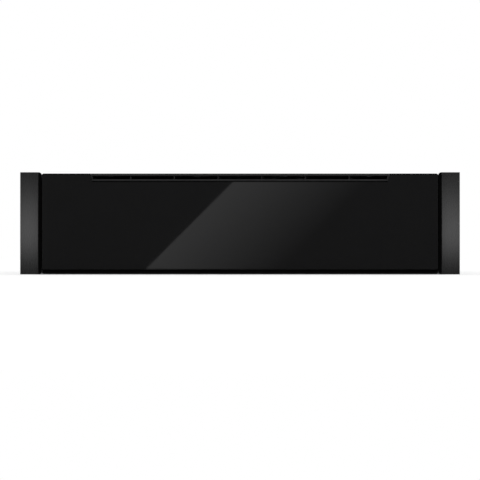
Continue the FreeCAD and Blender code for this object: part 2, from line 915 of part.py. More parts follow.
bulkhead_plate = block(
    "bulkhead_plate", (-wall_in, wall_in), (bay_depth, bulkhead_back), (s.sheet, bulkhead_top))
bulkhead_folds = []
bulkhead_holes = [
    rod("nozzle_hole", "Y", s.nozzle_width + s.screw_play, (tub_x, bay_depth, port_height), s.sheet),
    rod(
        "coupling_hole", "Y", s.coupling_body + s.screw_play, (tank_x, bay_depth, s.dock_height),
        s.sheet),
    rod("latch_hole", "Y", s.latch_body + s.screw_play, (latch_x, bay_depth, s.latch_height), s.sheet),
]
for side, sign in SIDES:
    fold = (wall_in - s.sheet, wall_in)
    bulkhead_folds.append(block(
        f"bulkhead_fold_{side}", across(sign, *fold), (bulkhead_back, bulkhead_back + s.bulkhead_fold),
        (s.sheet, bulkhead_top)))
    bulkhead_holes += wall_holes(f"bulkhead_hole_{side}", sign, fold, BULKHEAD_SCREWS)
bulkhead_shell = join("bulkhead_shell", bulkhead_plate, *bulkhead_folds)
node("bulkhead", cut("bulkhead_drilled", bulkhead_shell, *bulkhead_holes))

wall_places = []
for side, sign in SIDES:
    for y, z in WALL_SCREWS:
        wall_places.append(((sign * wall_out, y, z), Vector(-sign, 0, 0)))
for x, z in REAR_SCREWS:
    wall_places.append(((x, s.housing_depth, z), Vector(0, -1, 0)))
housing_screws = screws_at(wall_places, 2 * s.sheet + s.screw_tail)


# Side trims: a hollow black carrier screwed to the flange and a satin strip over it

trim_places = []
for side, sign in SIDES:
    shell = block(
        f"carrier_shell_{side}", across(sign, step_inner, front_half), (strip_back, -s.sheet),
        (trim_low, trim_high))
    shell = rounded(
        f"carrier_round_{side}", shell, s.step_round, "Y", lambda p: near(abs(p.x), step_inner))
    hollow = block(
        f"carrier_hollow_{side}", across(
            sign, step_inner + s.carrier_wall, front_half - s.carrier_wall),
        (strip_back + s.carrier_wall, -s.sheet), (
            trim_low + s.carrier_wall, trim_high - s.carrier_wall))
    shell = cut(f"carrier_walls_{side}", shell, hollow)
    boss_x = sign * (step_inner + front_half) / 2
    boss_length = -s.sheet - strip_back
    bosses = []
    bores = []
    for i, z in enumerate((s.trim_screw_low, trim_screw_high)):
        bosses.append(
            rod(f"carrier_boss_{side}_{i}", "Y", s.carrier_boss, (boss_x, strip_back, z), boss_length))
        bores.append(
            rod(f"carrier_bore_{side}_{i}", "Y", screw_hole, (boss_x, strip_back, z), boss_length))
        bores.append(
            rod(
                f"carrier_sink_{side}_{i}", "Y", s.screw_head + s.screw_play, (boss_x, strip_back, z),
                s.screw_head_height))
        trim_places.append(((boss_x, strip_back + s.screw_head_height, z), Vector(0, 1, 0)))
    node(
        f"trim_carrier_{side}",
        cut(f"carrier_{side}", join(f"carrier_bossed_{side}", shell, *bosses), *bores))

    strip = new_body(f"trim_strip_{side}", y=strip_back)
    pad(
        strip,
        rectangle(strip, "XZ_Plane", across(sign, strip_inner, front_half), (trim_low, trim_high)),
        s.strip_thickness)
    fillet(
        strip, s.strip_end_round,
        lambda shape: lines_along(shape, "X", lambda p: near(p.y, -s.strip_thickness)))
    fillet(
        strip, s.strip_edge_round,
        lambda shape: lines_along(shape, "Z", lambda p: near(p.y, -s.strip_thickness)))
housing_screws += screws_at(trim_places, -strip_back - s.screw_head_height)


# Front panel: black glass bonded to a hollow pan, with the slotted vent let into its top edge

vent_half = s.vent_width / 2
vent_low = panel_high - s.vent_height
vent_foot_half = vent_half - s.vent_slant

glass = new_body("front_glass", y=glass_back)
pad(
    glass, rectangle(glass, "XZ_Plane", (-panel_half, panel_half), (glass_low, panel_high)),
    s.glass_thickness)
fillet(glass, s.glass_round, lambda shape: lines_along(shape, "Y", lambda p: True))
notch_low = vent_low - s.vent_joint
notch_half = vent_half + s.vent_end_joint
notch_foot = vent_foot_half + s.vent_end_joint
pocket(glass, polygon(glass, "XZ_Plane", [
    (-notch_foot, notch_low), (notch_foot, notch_low), (notch_half, panel_high), (
        -notch_half, panel_high)]))
fillet(glass, s.glass_round, lambda shape: lines_along(shape, "Y", lambda p: near(p.z, notch_low)))

pan_block = block(
    "pan_block", (-panel_half, panel_half), (glass_back, pan_back), (panel_low, panel_high))
pan_lip = block(
    "pan_lip", (-panel_half, panel_half), (panel_face + s.lip_recess, glass_back),
    (panel_low, panel_low + s.lip_height))
pan_solid = rounded(
    "pan_solid", join("pan_outer", pan_block, pan_lip), s.pan_round, "Y",
    lambda p: near(p.z, panel_low) or near(p.z, panel_high))
pan_room = (glass_back + s.pan_wall, pan_back)
rib_sides = [-s.pan_rib_offset, s.pan_rib_offset]
pan_edges = [-panel_half + s.pan_wall] + [
    side for x in rib_sides for side in (x - s.pan_wall / 2, x + s.pan_wall / 2)]
pan_edges.append(panel_half - s.pan_wall)
pan_cells = []
for i in range(0, len(pan_edges), 2):
    pan_cells.append(
        block(
            f"pan_cell_{i}", (pan_edges[i], pan_edges[i + 1]), pan_room,
            (panel_low + s.pan_wall, vent_low - s.pan_wall)))
pan_notch = block(
    "pan_notch", (-vent_half - s.vent_pan_play, vent_half + s.vent_pan_play), (glass_back, pan_back),
    (vent_low, panel_high))
node("front_carrier", cut("pan_hollowed", pan_solid, pan_notch, *pan_cells))

FRONT_SCREWS = [(side_in - s.side_fold / 2, z) for z in (s.side_screw_low, side_screw_high)]
liner_plate = block(
    "liner_plate", (s.liner_margin - panel_half, panel_half - s.liner_margin), (pan_back, liner_back),
    (panel_low + s.liner_margin, panel_high - s.liner_margin))
liner_openings = [block(
    "liner_notch", (-vent_half - s.vent_pan_play, vent_half + s.vent_pan_play), (pan_back, liner_back), (
        vent_low, panel_high))]
for side, sign in SIDES:
    for i, (x, z) in enumerate(FRONT_SCREWS):
        liner_openings.append(
            rod(f"liner_hole_{side}_{i}", "Y", screw_hole, (sign * x, pan_back, z), s.liner_sheet))
node("front_liner", cut("liner", liner_plate, *liner_openings))

vent_depth = liner_back - panel_face
slot_high = panel_high - s.vent_bar
slot_low = slot_high - s.vent_slot
slant_share = s.vent_slant / s.vent_height
slot_top_half = vent_half - s.vent_end_wall - slant_share * s.vent_bar
slot_foot_half = slot_top_half - slant_share * s.vent_slot
vent = new_body("vent_grille", y=liner_back)
pad(vent, polygon(vent, "XZ_Plane", [
    (-vent_foot_half, vent_low), (vent_foot_half, vent_low), (vent_half, panel_high),
    (-vent_half, panel_high)]), vent_depth)
pocket(vent, polygon(vent, "XZ_Plane", [
    (-slot_foot_half, slot_low), (slot_foot_half, slot_low), (slot_top_half, slot_high), (
        -slot_top_half, slot_high)]))
fillet(vent, s.vent_edge_round, lambda shape: lines_along(
    shape, "X", lambda p: near(p.y, -vent_depth) and near(p.z, panel_high)))
fillet(vent, s.vent_slot_round, lambda shape: lines_along(
    shape, "X", lambda p: near(p.y, -vent_depth) and (near(p.z, slot_low) or near(p.z, slot_high))))
rib_first = -s.vent_rib_pitch * (s.vent_rib_count - 1) / 2 - s.vent_rib_width / 2
rib = pad(vent, rectangle(
    vent, "XZ_Plane", (rib_first, rib_first + s.vent_rib_width),
    (slot_low - s.vent_rib_root, slot_high + s.vent_rib_root)), vent_depth - s.vent_rib_recess)
linear(vent, rib, "X_Axis", s.vent_rib_pitch, s.vent_rib_count)


# Telescopic runners: three nested channels a side, with ball cages in the races

mid_out = runner_out - s.runner_sheet - s.runner_step
mid_low = s.runner_low + s.runner_sheet + race
mid_high = runner_high - s.runner_sheet - race
inner_low = mid_low + s.runner_sheet + race
inner_high = mid_high - s.runner_sheet - race
inner_tip = mid_out - s.runner_sheet - s.runner_step
arm_tip = runner_in + s.runner_step


def channel(label, sign, web, web_inside, tip, low, high):
    """A runner member: a web with two arms, drawn across the object and padded to the back."""
    sheet_size = s.runner_sheet
    member = new_body(label, y=s.runner_front)
    outline = [
        (sign * web, low), (sign * web, high), (sign * tip, high), (sign * tip, high - sheet_size),
        (sign * web_inside, high - sheet_size), (sign * web_inside, low + sheet_size),
        (sign * tip, low + sheet_size), (sign * tip, low)]
    pad(member, polygon(member, "XZ_Plane", outline), runner_length, backward=True)
    return member


for side, sign in SIDES:
    outer = channel(
        f"runner_outer_{side}", sign, runner_out, runner_out - s.runner_sheet, arm_tip,
        s.runner_low, runner_high)
    hole = circle(outer, "YZ_Plane", s.spacer_first - s.runner_front, runner_middle, screw_hole)
    linear(outer, pocket(outer, hole), "Y_Axis", spacer_pitch, s.spacer_count)
    channel(
        f"runner_middle_{side}", sign, mid_out, mid_out - s.runner_sheet, arm_tip, mid_low, mid_high)
    inner = channel(
        f"runner_inner_{side}", sign, runner_in, runner_in + s.runner_sheet, inner_tip,
        inner_low, inner_high)
    hole = circle(inner, "YZ_Plane", s.spacer_first - s.runner_front, runner_middle, screw_hole)
    linear(inner, pocket(inner, hole), "Y_Axis", spacer_pitch, s.spacer_count)


def ball_cage(label, levels, middle):
    """Strips with loose balls in round holes, one strip in each race of both runners."""
    pieces = []
    length = value_of(s.ball_pitch * (s.ball_count - 1) + 2 * s.cage_end)
    width = value_of(s.cage_width)
    thickness = value_of(s.cage_sheet)
    start = value_of(s.cage_front)
    for sign in (-1, 1):
        for level in levels:
            centre = Vector(sign * value_of(middle), start, value_of(level))
            strip = Part.makeBox(width, length, thickness, centre - Vector(width / 2, 0, thickness / 2))
            balls = []
            for i in range(int(s.ball_count.value)):
                spot = centre + Vector(0, value_of(s.cage_end + i * s.ball_pitch), 0)
                balls.append(Part.makeSphere(value_of(s.ball) / 2, spot))
                hole = Part.makeCylinder(
                    value_of(s.ball / 2 + s.cage_play), thickness * 2, spot - Vector(0, 0, thickness))
                strip = strip.cut(hole)
            pieces += [strip] + balls
    return solids_node(label, pieces)


ball_cage(
    "ball_cage_outer",
    (s.runner_low + s.runner_sheet + race / 2, runner_high - s.runner_sheet - race / 2),
    (arm_tip + mid_out) / 2)
ball_cage(
    "ball_cage_inner", (mid_low + s.runner_sheet + race / 2, mid_high - s.runner_sheet - race / 2),
    (arm_tip + inner_tip) / 2)

spacers = []
runner_places = []
for side, sign in SIDES:
    for i, (y, z) in enumerate(RUNNER_SCREWS):
        low, high = across(sign, runner_out, wall_in)
        bush = rod(f"spacer_bush_{side}_{i}", "X", s.spacer_width, (low, y, z), s.spacer_length)
        bore = rod(f"spacer_bore_{side}_{i}", "X", screw_hole, (low, y, z), s.spacer_length)
        spacers.append(cut(f"spacer_{side}_{i}", bush, bore))
        runner_places.append(((sign * wall_out, y, z), Vector(-sign, 0, 0)))
node("runner_spacers", group("runner_spacer_set", *spacers))
housing_screws += screws_at(runner_places, s.sheet + s.spacer_length + s.runner_sheet)
solids_node("housing_screws", housing_screws)


# Drawer frame: two sides on the runners, a back and a deck that holds the tub and the tank

for side, sign in SIDES:
    plate = block(
        f"side_plate_{side}", across(sign, side_in, runner_in), (liner_back, drawer_depth),
        (s.drawer_low, deck_height))
    fold = block(
        f"side_fold_{side}", across(sign, side_in - s.side_fold, side_in), (
            liner_back, liner_back + s.drawer_sheet),
        (s.drawer_low, deck_height))
    holes = [
        rod(f"side_hole_{side}_{i}", "Y", screw_hole, (sign * x, liner_back, z), s.drawer_sheet) for i,
        (x, z) in enumerate(FRONT_SCREWS)]
    holes += wall_holes(f"side_runner_hole_{side}", sign, (side_in, runner_in), RUNNER_SCREWS)
    node(
        f"drawer_side_{side}",
        cut(f"side_drilled_{side}", join(f"side_shell_{side}", plate, fold), *holes))

back_plate = block(
    "back_plate", (-side_in, side_in), (back_front, drawer_depth), (s.drawer_low, deck_height))
back_holes = [
    rod(
        "back_port_hole", "Y", s.port_seal_width + s.port_hole_play, (tub_x, back_front, port_height),
        s.drawer_sheet),
    rod(
        "back_outlet_hole", "Y", s.outlet_width + s.outlet_hole_play,
        (tank_x, back_front, s.dock_height), s.drawer_sheet),
]
node("drawer_back", cut("back_drilled", back_plate, *back_holes))

deck = new_body("drawer_deck", z=deck_height)
pad(
    deck, rectangle(deck, "XY_Plane", (-runner_in, runner_in), (liner_back, drawer_depth)),
    s.deck_sheet)
tub_hole_half = tub_width / 2 + s.tub_play
pocket(deck, round_rectangle(
    deck, "XY_Plane", (tub_x - tub_hole_half, tub_x + tub_hole_half),
    (s.tub_front - s.tub_play, s.tub_front + tub_length + s.tub_play), s.tub_corner + s.tub_play))
tank_hole_half = s.tank_width / 2 + s.tank_play
pocket(deck, round_rectangle(
    deck, "XY_Plane", (tank_x - tank_hole_half, tank_x + tank_hole_half),
    (s.tank_front - s.tank_play, s.tank_front + tank_length + s.tank_play), s.tank_corner + s.tank_play))

drawer_places = []
for side, sign in SIDES:
    for x, z in FRONT_SCREWS:
        drawer_places.append(((sign * x, liner_back + s.drawer_sheet, z), Vector(0, -1, 0)))
    for y, z in RUNNER_SCREWS:
        drawer_places.append(((sign * side_in, y, z), Vector(sign, 0, 0)))
solids_node("drawer_screws", screws_at(drawer_places, s.drawer_sheet + s.runner_sheet))


# Steam tub hung in the deck, its steam port at the back, and the tray inside it: a folded frame whose
# ledge carries a perforated floor on four feet

tub_half_width = tub_width / 2
tub_half_length = tub_length / 2
tub_depth = rim_top - s.tub_floor
tub_round_inside = s.tub_corner - s.tub_wall
tub = new_body("steam_tub", x=tub_x, y=tub_middle, z=s.tub_floor)
rounded_box(
    tub, (-tub_half_width, tub_half_width), (-tub_half_length, tub_half_length), tub_depth,
    s.tub_corner)
rim_x = (-tub_half_width - s.tub_rim, tub_half_width + s.tub_rim)
rim_y = (-tub_half_length - s.tub_rim, tub_half_length + s.tub_rim)
rounded_box(tub, rim_x, rim_y, s.tub_wall, s.tub_corner + s.tub_rim, tub_depth - s.tub_wall)
port_z = port_height - s.tub_floor
pad(
    tub, circle(tub, "XZ_Plane", 0, port_z, s.port_width, -tub_half_length + s.tub_wall / 2),
    s.tub_back_gap + s.tub_wall / 2, backward=True)
pocket(tub, round_rectangle(
    tub, "XY_Plane", (s.tub_wall - tub_half_width, tub_half_width - s.tub_wall),
    (s.tub_wall - tub_half_length, tub_half_length - s.tub_wall), tub_round_inside, tub_depth),
    tub_depth - s.tub_wall)
fillet(tub, s.tub_floor_round - s.tub_wall, lambda shape: edges_in_plane(shape, "Z", s.tub_wall))
fillet(tub, s.tub_floor_round, lambda shape: edges_in_plane(shape, "Z", 0))
pocket(
    tub, circle(tub, "XZ_Plane", 0, port_z, s.port_bore, -tub_half_length - s.tub_back_gap),
    s.tub_back_gap + 2 * s.tub_wall, backward=True)

port_end = tub_back + s.tub_back_gap
seal_ring = rod(
    "port_seal_ring", "Y", s.port_seal_width, (tub_x, port_end - s.port_seal_thickness, port_height),
    s.port_seal_thickness + s.port_seal_lip)
seal_seat = rod(
    "port_seal_seat", "Y", s.port_width, (tub_x, port_end - s.port_seal_thickness, port_height),
    s.port_seal_thickness)
seal_hole = rod(
    "port_seal_hole", "Y", s.nozzle_width + s.nozzle_play, (tub_x, port_end, port_height),
    s.port_seal_lip)
node("port_seal", cut("port_seal_bored", seal_ring, seal_seat, seal_hole))

tray_half_width = tub_width / 2 - s.tub_wall - s.tray_play
tray_half_length = tub_length / 2 - s.tub_wall - s.tray_play
tray_corner = tub_round_inside - s.tray_play
tray_low = s.tub_floor + s.tub_wall + s.tray_lift
frame_low = tray_low - s.tray_wall
frame_height = s.tray_height + s.tray_wall
ledge_edge = s.tray_wall + s.tray_ledge
tray_frame = new_body("tray_frame", x=tub_x, y=tub_middle, z=frame_low)
rounded_box(
    tray_frame, (-tray_half_width, tray_half_width), (-tray_half_length, tray_half_length), frame_height,
    tray_corner)
rounded_box(
    tray_frame, (-tray_half_width - s.tray_rim, tray_half_width + s.tray_rim), (
        -tray_half_length - s.tray_rim, tray_half_length + s.tray_rim),
    s.tray_wall, tray_corner + s.tray_rim, s.tray_height)
pocket(tray_frame, round_rectangle(
    tray_frame, "XY_Plane", (s.tray_wall - tray_half_width, tray_half_width - s.tray_wall),
    (s.tray_wall - tray_half_length, tray_half_length - s.tray_wall),
    tray_corner - s.tray_wall, frame_height), s.tray_height)
pocket(tray_frame, round_rectangle(
    tray_frame, "XY_Plane", (ledge_edge - tray_half_width, tray_half_width - ledge_edge),
    (ledge_edge - tray_half_length, tray_half_length - ledge_edge),
    tray_corner - ledge_edge, s.tray_wall), s.tray_wall)

floor_edge = s.tray_wall + s.tray_floor_play
tray_floor = new_body("tray_floor", x=tub_x, y=tub_middle, z=tray_low)
rounded_box(
    tray_floor, (floor_edge - tray_half_width, tray_half_width - floor_edge),
    (floor_edge - tray_half_length, tray_half_length - floor_edge), s.tray_wall,
    tray_corner - floor_edge)
foot_x = tray_half_width - s.tray_foot_inset
foot_y = tray_half_length - s.tray_foot_inset
foot = pad(
    tray_floor, circle(tray_floor, "XY_Plane", -foot_x, -foot_y, s.tray_foot), s.tray_lift, backward=True)
linear(tray_floor, foot, "X_Axis", 2 * foot_x, PAIR, ("Y_Axis", 2 * foot_y, PAIR))
columns = whole(2 * (tray_half_width - s.tray_hole_margin) / s.tray_hole_pitch) + 1
rows = whole(2 * (tray_half_length - s.tray_hole_margin) / s.tray_hole_pitch) + 1
hole_x = -s.tray_hole_pitch * (columns - 1) / 2
hole_y = -s.tray_hole_pitch * (rows - 1) / 2
hole = pocket(
    tray_floor, circle(tray_floor, "XY_Plane", hole_x, hole_y, s.tray_hole, 2 * s.tray_wall),
    3 * s.tray_wall)
linear(tray_floor, hole, "X_Axis", s.tray_hole_pitch, columns, ("Y_Axis", s.tray_hole_pitch, rows))


# Water tank beside the tub, with its lid, turning filler cap and outlet valve

tank_half_width = s.tank_width / 2
tank_half_length = tank_length / 2
tank_middle = s.tank_front + tank_half_length
tank_depth = deck_top - s.tank_floor
tank_rim_top = deck_top + s.tank_rim_thickness
tank = new_body("water_tank", x=tank_x, y=tank_middle, z=s.tank_floor)
rounded_box(
    tank, (-tank_half_width, tank_half_width), (-tank_half_length, tank_half_length), tank_depth,
    s.tank_corner)
tank_rim_x = (-tank_half_width - s.tank_rim, tank_half_width + s.tank_rim)
tank_rim_y = (-tank_half_length - s.tank_rim, tank_half_length + s.tank_rim)
rounded_box(tank, tank_rim_x, tank_rim_y, s.tank_rim_thickness, s.tank_corner + s.tank_rim, tank_depth)
pocket(tank, round_rectangle(
    tank, "XY_Plane", (s.tank_wall - tank_half_width, tank_half_width - s.tank_wall),
    (s.tank_wall - tank_half_length, tank_half_length - s.tank_wall),
    s.tank_corner - s.tank_wall, tank_depth + s.tank_rim_thickness),
    tank_depth + s.tank_rim_thickness - s.tank_wall)
outlet_z = s.dock_height - s.tank_floor
pad(
    tank, circle(tank, "XZ_Plane", 0, outlet_z, s.outlet_width, -tank_half_length), s.outlet_length,
    backward=True)
pocket(
    tank, circle(tank, "XZ_Plane", 0, outlet_z, s.outlet_bore, -tank_half_length - s.outlet_length),
    s.outlet_length, backward=True)
pocket(
    tank, circle(tank, "XZ_Plane", 0, outlet_z, s.valve_stem + 2 * s.valve_play, -tank_half_length),
    s.tank_wall, backward=True)

valve_seat = tank_back - s.tank_wall - s.valve_play
valve_tip = tank_back + s.valve_stem_length
valve_disc = rod(
    "valve_disc", "Y", s.valve_width, (tank_x, valve_seat - s.valve_thickness, s.dock_height),
    s.valve_thickness)
valve_rod = rod(
    "valve_rod", "Y", s.valve_stem, (tank_x, valve_seat, s.dock_height), valve_tip - valve_seat)
node("tank_valve", join("valve", valve_disc, valve_rod))

filler_y = s.filler_front - tank_half_length
tank_lid = new_body("tank_lid", x=tank_x, y=tank_middle, z=tank_rim_top)
rounded_box(tank_lid, tank_rim_x, tank_rim_y, s.tank_lid_thickness, s.tank_corner + s.tank_rim)
pocket(tank_lid, circle(tank_lid, "XY_Plane", 0, filler_y, s.filler_width))
tank_lid_round = s.tank_lid_thickness / 3
LID_OUTLINE_EDGES = 8
fillet(
    tank_lid, tank_lid_round,
    lambda shape: edges_in_plane(shape, "Z", s.tank_lid_thickness)[0:LID_OUTLINE_EDGES])

cap_low = tank_rim_top + s.tank_lid_thickness + s.cap_play
cap = new_body("tank_cap", x=tank_x, y=s.tank_front + s.filler_front, z=cap_low)
pad(cap, circle(cap, "XY_Plane", 0, 0, s.cap_width), s.cap_thickness)
pad(cap, circle(cap, "XY_Plane", 0, 0, s.filler_width - 2 * s.cap_play), s.cap_skirt, backward=True)
pocket(
    cap, circle(cap, "XY_Plane", 0, 0, s.filler_width - 2 * s.cap_play - 2 * s.tank_wall, -s.cap_skirt),
    s.cap_skirt, backward=True)
grip_half_length = s.cap_width / 4
grip_inner = s.cap_grip_width / 2
grip = pocket(cap, rectangle(
    cap, "XY_Plane", (-grip_half_length, grip_half_length), (grip_inner, grip_inner + s.cap_grip_width),
    s.cap_thickness), s.cap_thickness / 2)
polar(cap, grip, "Z_Axis", PAIR)


# Floating steam lid: a folded plate with a seal, hung from two rails and pressed down by leaf springs

lid_half_width = tub_width / 2 + s.tub_rim
lid_half_length = tub_length / 2 + s.tub_rim
lid_corner = s.tub_corner + s.tub_rim
lid = new_body("steam_lid", x=tub_x, y=tub_middle, z=lid_low)
lid_x = (-lid_half_width, lid_half_width)
lid_y = (-lid_half_length, lid_half_length)
rounded_box(lid, lid_x, lid_y, s.lid_sheet + s.lid_fold_height, lid_corner)
pocket(lid, round_rectangle(
    lid, "XY_Plane", (s.lid_sheet - lid_half_width, lid_half_width - s.lid_sheet),
    (s.lid_sheet - lid_half_length, lid_half_length - s.lid_sheet), lid_corner - s.lid_sheet,
    s.lid_sheet + s.lid_fold_height), s.lid_fold_height)
bolt_x = lid_half_width - s.lid_bolt_inset
bolt_y = (rail_back - rail_front) / 2
rail_middle = (rail_back + rail_front) / 2 - tub_middle
boss = pad(
    lid, circle(lid, "XY_Plane", -bolt_x, rail_middle - bolt_y, s.lid_boss, s.lid_sheet / 2),
    s.lid_boss_height + s.lid_sheet / 2)
linear(lid, boss, "X_Axis", 2 * bolt_x, PAIR, ("Y_Axis", 2 * bolt_y, PAIR))
bore = pocket(lid, circle(
    lid, "XY_Plane", -bolt_x, rail_middle - bolt_y, s.lid_bolt_thread + s.screw_play,
    s.lid_sheet + s.lid_boss_height), s.lid_boss_height)
linear(lid, bore, "X_Axis", 2 * bolt_x, PAIR, ("Y_Axis", 2 * bolt_y, PAIR))

lid_seal = new_body("lid_seal", x=tub_x, y=tub_middle, z=seal_low)
rounded_box(lid_seal, lid_x, lid_y, s.lid_seal_height, lid_corner)
pocket(lid_seal, round_rectangle(
    lid_seal, "XY_Plane", (s.lid_seal_width - lid_half_width, lid_half_width - s.lid_seal_width),
    (s.lid_seal_width - lid_half_length, lid_half_length - s.lid_seal_width),
    lid_corner - s.lid_seal_width))

boss_top = lid_top + s.lid_boss_height
head_low = rail_top + s.lid_bolt_drop
bolts = []
for side, sign in SIDES:
    for end, y in (("front", rail_front), ("back", rail_back)):
        spot_x = sign * bolt_x + tub_x
        thread_length = s.lid_boss_height - s.lid_bolt_tip_gap
        thread = rod(
            f"bolt_thread_{side}_{end}", "Z", s.lid_bolt_thread, (spot_x, y, boss_top - thread_length),
            thread_length)
        shoulder = rod(
            f"bolt_shoulder_{side}_{end}", "Z", s.lid_bolt_shoulder, (spot_x, y, boss_top),
            head_low - boss_top)
        head = rod(
            f"bolt_head_{side}_{end}", "Z", s.lid_bolt_head, (spot_x, y, head_low),
            s.lid_bolt_head_height)
        bolts.append(join(f"bolt_{side}_{end}", thread, shoulder, head))
node("lid_bolts", group("lid_bolt_set", *bolts))

rails = []
springs = []
for end, y in (("front", rail_front), ("back", rail_back)):
    rail_y = (y - s.rail_width / 2, y + s.rail_width / 2)
    bar = block(f"rail_bar_{end}", (-wall_in, wall_in), rail_y, (rail_low, rail_top))
    tabs = []
    holes = []
    for side, sign in SIDES:
        tab_x = (wall_in - s.rail_sheet, wall_in)
        tabs.append(
            block(
                f"rail_tab_{side}_{end}", across(sign, *tab_x), rail_y,
                (rail_low - s.rail_tab, rail_low)))
        holes += wall_holes(f"rail_hole_{side}_{end}", sign, tab_x, [(y, rail_low - s.rail_tab / 2)])
        holes.append(rod(
            f"rail_guide_{side}_{end}", "Z", s.lid_bolt_shoulder + s.rail_guide_play,
            (sign * bolt_x + tub_x, y, rail_low), s.rail_sheet))
    rails.append(cut(f"rail_{end}", join(f"rail_shell_{end}", bar, *tabs), *holes))
node("lid_rails", group("lid_rail_set", *rails))

spring_rise = rail_low - lid_top
foot_half = s.spring_length / 2
flat_half = s.spring_flat / 2
leaves = []
for end, y in (("front", rail_front), ("back", rail_back)):
    leaf = doc.addObject("PartDesign::Body", f"leaf_{end}")
    move(leaf, tub_x, y + s.spring_width / 2, lid_top)
    pad(leaf, polygon(leaf, "XZ_Plane", [
        (-foot_half, 0), (s.spring_foot - foot_half, 0), (-flat_half, spring_rise - s.spring_sheet),
        (flat_half, spring_rise - s.spring_sheet), (foot_half - s.spring_foot, 0), (foot_half, 0),
        (flat_half, spring_rise), (-flat_half, spring_rise)]), s.spring_width)
    leaves.append(leaf)
node("lid_springs", group("lid_spring_set", *leaves))


# Controls behind the front panel: fascia, board, knob and two buttons, reached with the drawer open

fascia_face = block(
    "fascia_face", (-wall_in, wall_in), (s.fascia_front, fascia_rear), (fascia_low, fascia_high))
fascia_floor = block(
    "fascia_floor", (-wall_in, wall_in), (fascia_rear, fascia_back),
    (fascia_low, fascia_low + s.fascia_wall))
fascia_ends = []
fascia_openings = []
for side, sign in SIDES:
    end_x = (wall_in - s.fascia_wall, wall_in)
    fascia_ends.append(
        block(
            f"fascia_end_{side}", across(sign, *end_x), (fascia_rear, fascia_back),
            (fascia_low, fascia_high)))
    fascia_openings += wall_holes(f"fascia_end_hole_{side}", sign, end_x, FASCIA_SCREWS)
fascia_openings.append(rod(
    "fascia_knob_hole", "Y", s.knob_shaft + 2 * s.knob_play,
    (s.knob_offset, s.fascia_front, fascia_middle), s.fascia_wall))
for name, offset in (("power", -s.power_offset), ("start", -s.start_offset)):
    fascia_openings.append(rod(
        f"fascia_{name}_hole", "Y", s.button_width + 2 * s.knob_play,
        (offset, s.fascia_front, fascia_middle), s.fascia_wall))
fascia_openings.append(block(
    "fascia_screen_hole", (-s.screen_width / 2, s.screen_width / 2), (s.fascia_front, fascia_rear),
    (fascia_middle - s.screen_height / 2, fascia_middle + s.screen_height / 2)))
fascia_shell = join("fascia_shell", fascia_face, fascia_floor, *fascia_ends)
node("control_fascia", cut("fascia", fascia_shell, *fascia_openings))

board_front = fascia_back - s.board_sheet
encoder_front = fascia_rear + s.encoder_gap
board_low = fascia_low + s.fascia_wall
board = block(
    "control_board_plate", (-s.board_width / 2, s.board_width / 2), (board_front, fascia_back), (
        board_low, fascia_high - s.board_margin))
screen = block(
    "control_screen", (s.knob_play - s.screen_width / 2, s.screen_width / 2 - s.knob_play), (
        s.fascia_front + s.screen_recess, board_front),
    (
        fascia_middle - s.screen_height / 2 + s.knob_play,
        fascia_middle + s.screen_height / 2 - s.knob_play))
encoder_half_height = s.knob_width / 3
encoder = block(
    "control_encoder", (s.knob_offset - s.knob_width / 2, s.knob_offset + s.knob_width / 2), (
        encoder_front, board_front),
    (fascia_middle - encoder_half_height, fascia_middle + encoder_half_height))
encoder_bore = rod(
    "control_encoder_bore", "Y", s.knob_shaft + 2 * s.fan_shaft_play, (
        s.knob_offset, encoder_front, fascia_middle),
    board_front - encoder_front - s.encoder_floor)
button_tail = s.collar_gap + s.collar_thickness
switch_front = fascia_rear + button_tail + s.button_travel + s.switch_gap
switches = []
for name, offset in (("power", -s.power_offset), ("start", -s.start_offset)):
    switches.append(
        rod(
            f"control_switch_{name}", "Y", s.button_width / 2, (offset, switch_front, fascia_middle),
            board_front - switch_front))
node(
    "control_board",
    cut(
        "control_board_built", join("control_board_parts", board, screen, encoder, *switches),
        encoder_bore))

knob_back = s.fascia_front - s.knob_play
knob = new_body("timer_knob", x=s.knob_offset, y=knob_back, z=fascia_middle)
pad(knob, circle(knob, "XZ_Plane", 0, 0, s.knob_width), s.knob_length)
fillet(knob, s.knob_edge_round, lambda shape: edges_in_plane(shape, "Y", -s.knob_length))
flute = pocket(knob, circle(knob, "XZ_Plane", s.knob_width / 2 + s.flute_width / 4, 0, s.flute_width))
polar(knob, flute, "Y_Axis", s.knob_flutes)
pointer_half_width = s.flute_width / 4
pointer_inner = s.knob_width / 6
pointer_outer = s.knob_width / 2.6
pocket(knob, rectangle(
    knob, "XZ_Plane", (-pointer_half_width, pointer_half_width), (pointer_inner, pointer_outer),
    s.knob_length), pointer_half_width)
pad(
    knob, circle(knob, "XZ_Plane", 0, 0, s.knob_shaft), encoder_front + s.shaft_depth - knob_back,
    backward=True)

for name, offset in (("power", -s.power_offset), ("start", -s.start_offset)):
    button = new_body(f"{name}_button", x=offset, y=s.fascia_front, z=fascia_middle)
    pad(button, circle(button, "XZ_Plane", 0, 0, s.button_width), s.button_stand)
    fillet(button, s.knob_play, lambda shape: edges_in_plane(shape, "Y", -s.button_stand))
    pad(
        button, circle(button, "XZ_Plane", 0, 0, s.button_width), s.fascia_wall + button_tail,
        backward=True)
    pad(
        button, circle(button, "XZ_Plane", 0, 0, s.button_collar, -s.fascia_wall - s.collar_gap),
        s.collar_thickness, backward=True)


# Steam generator with its heating element, and the nozzle that docks into the tub

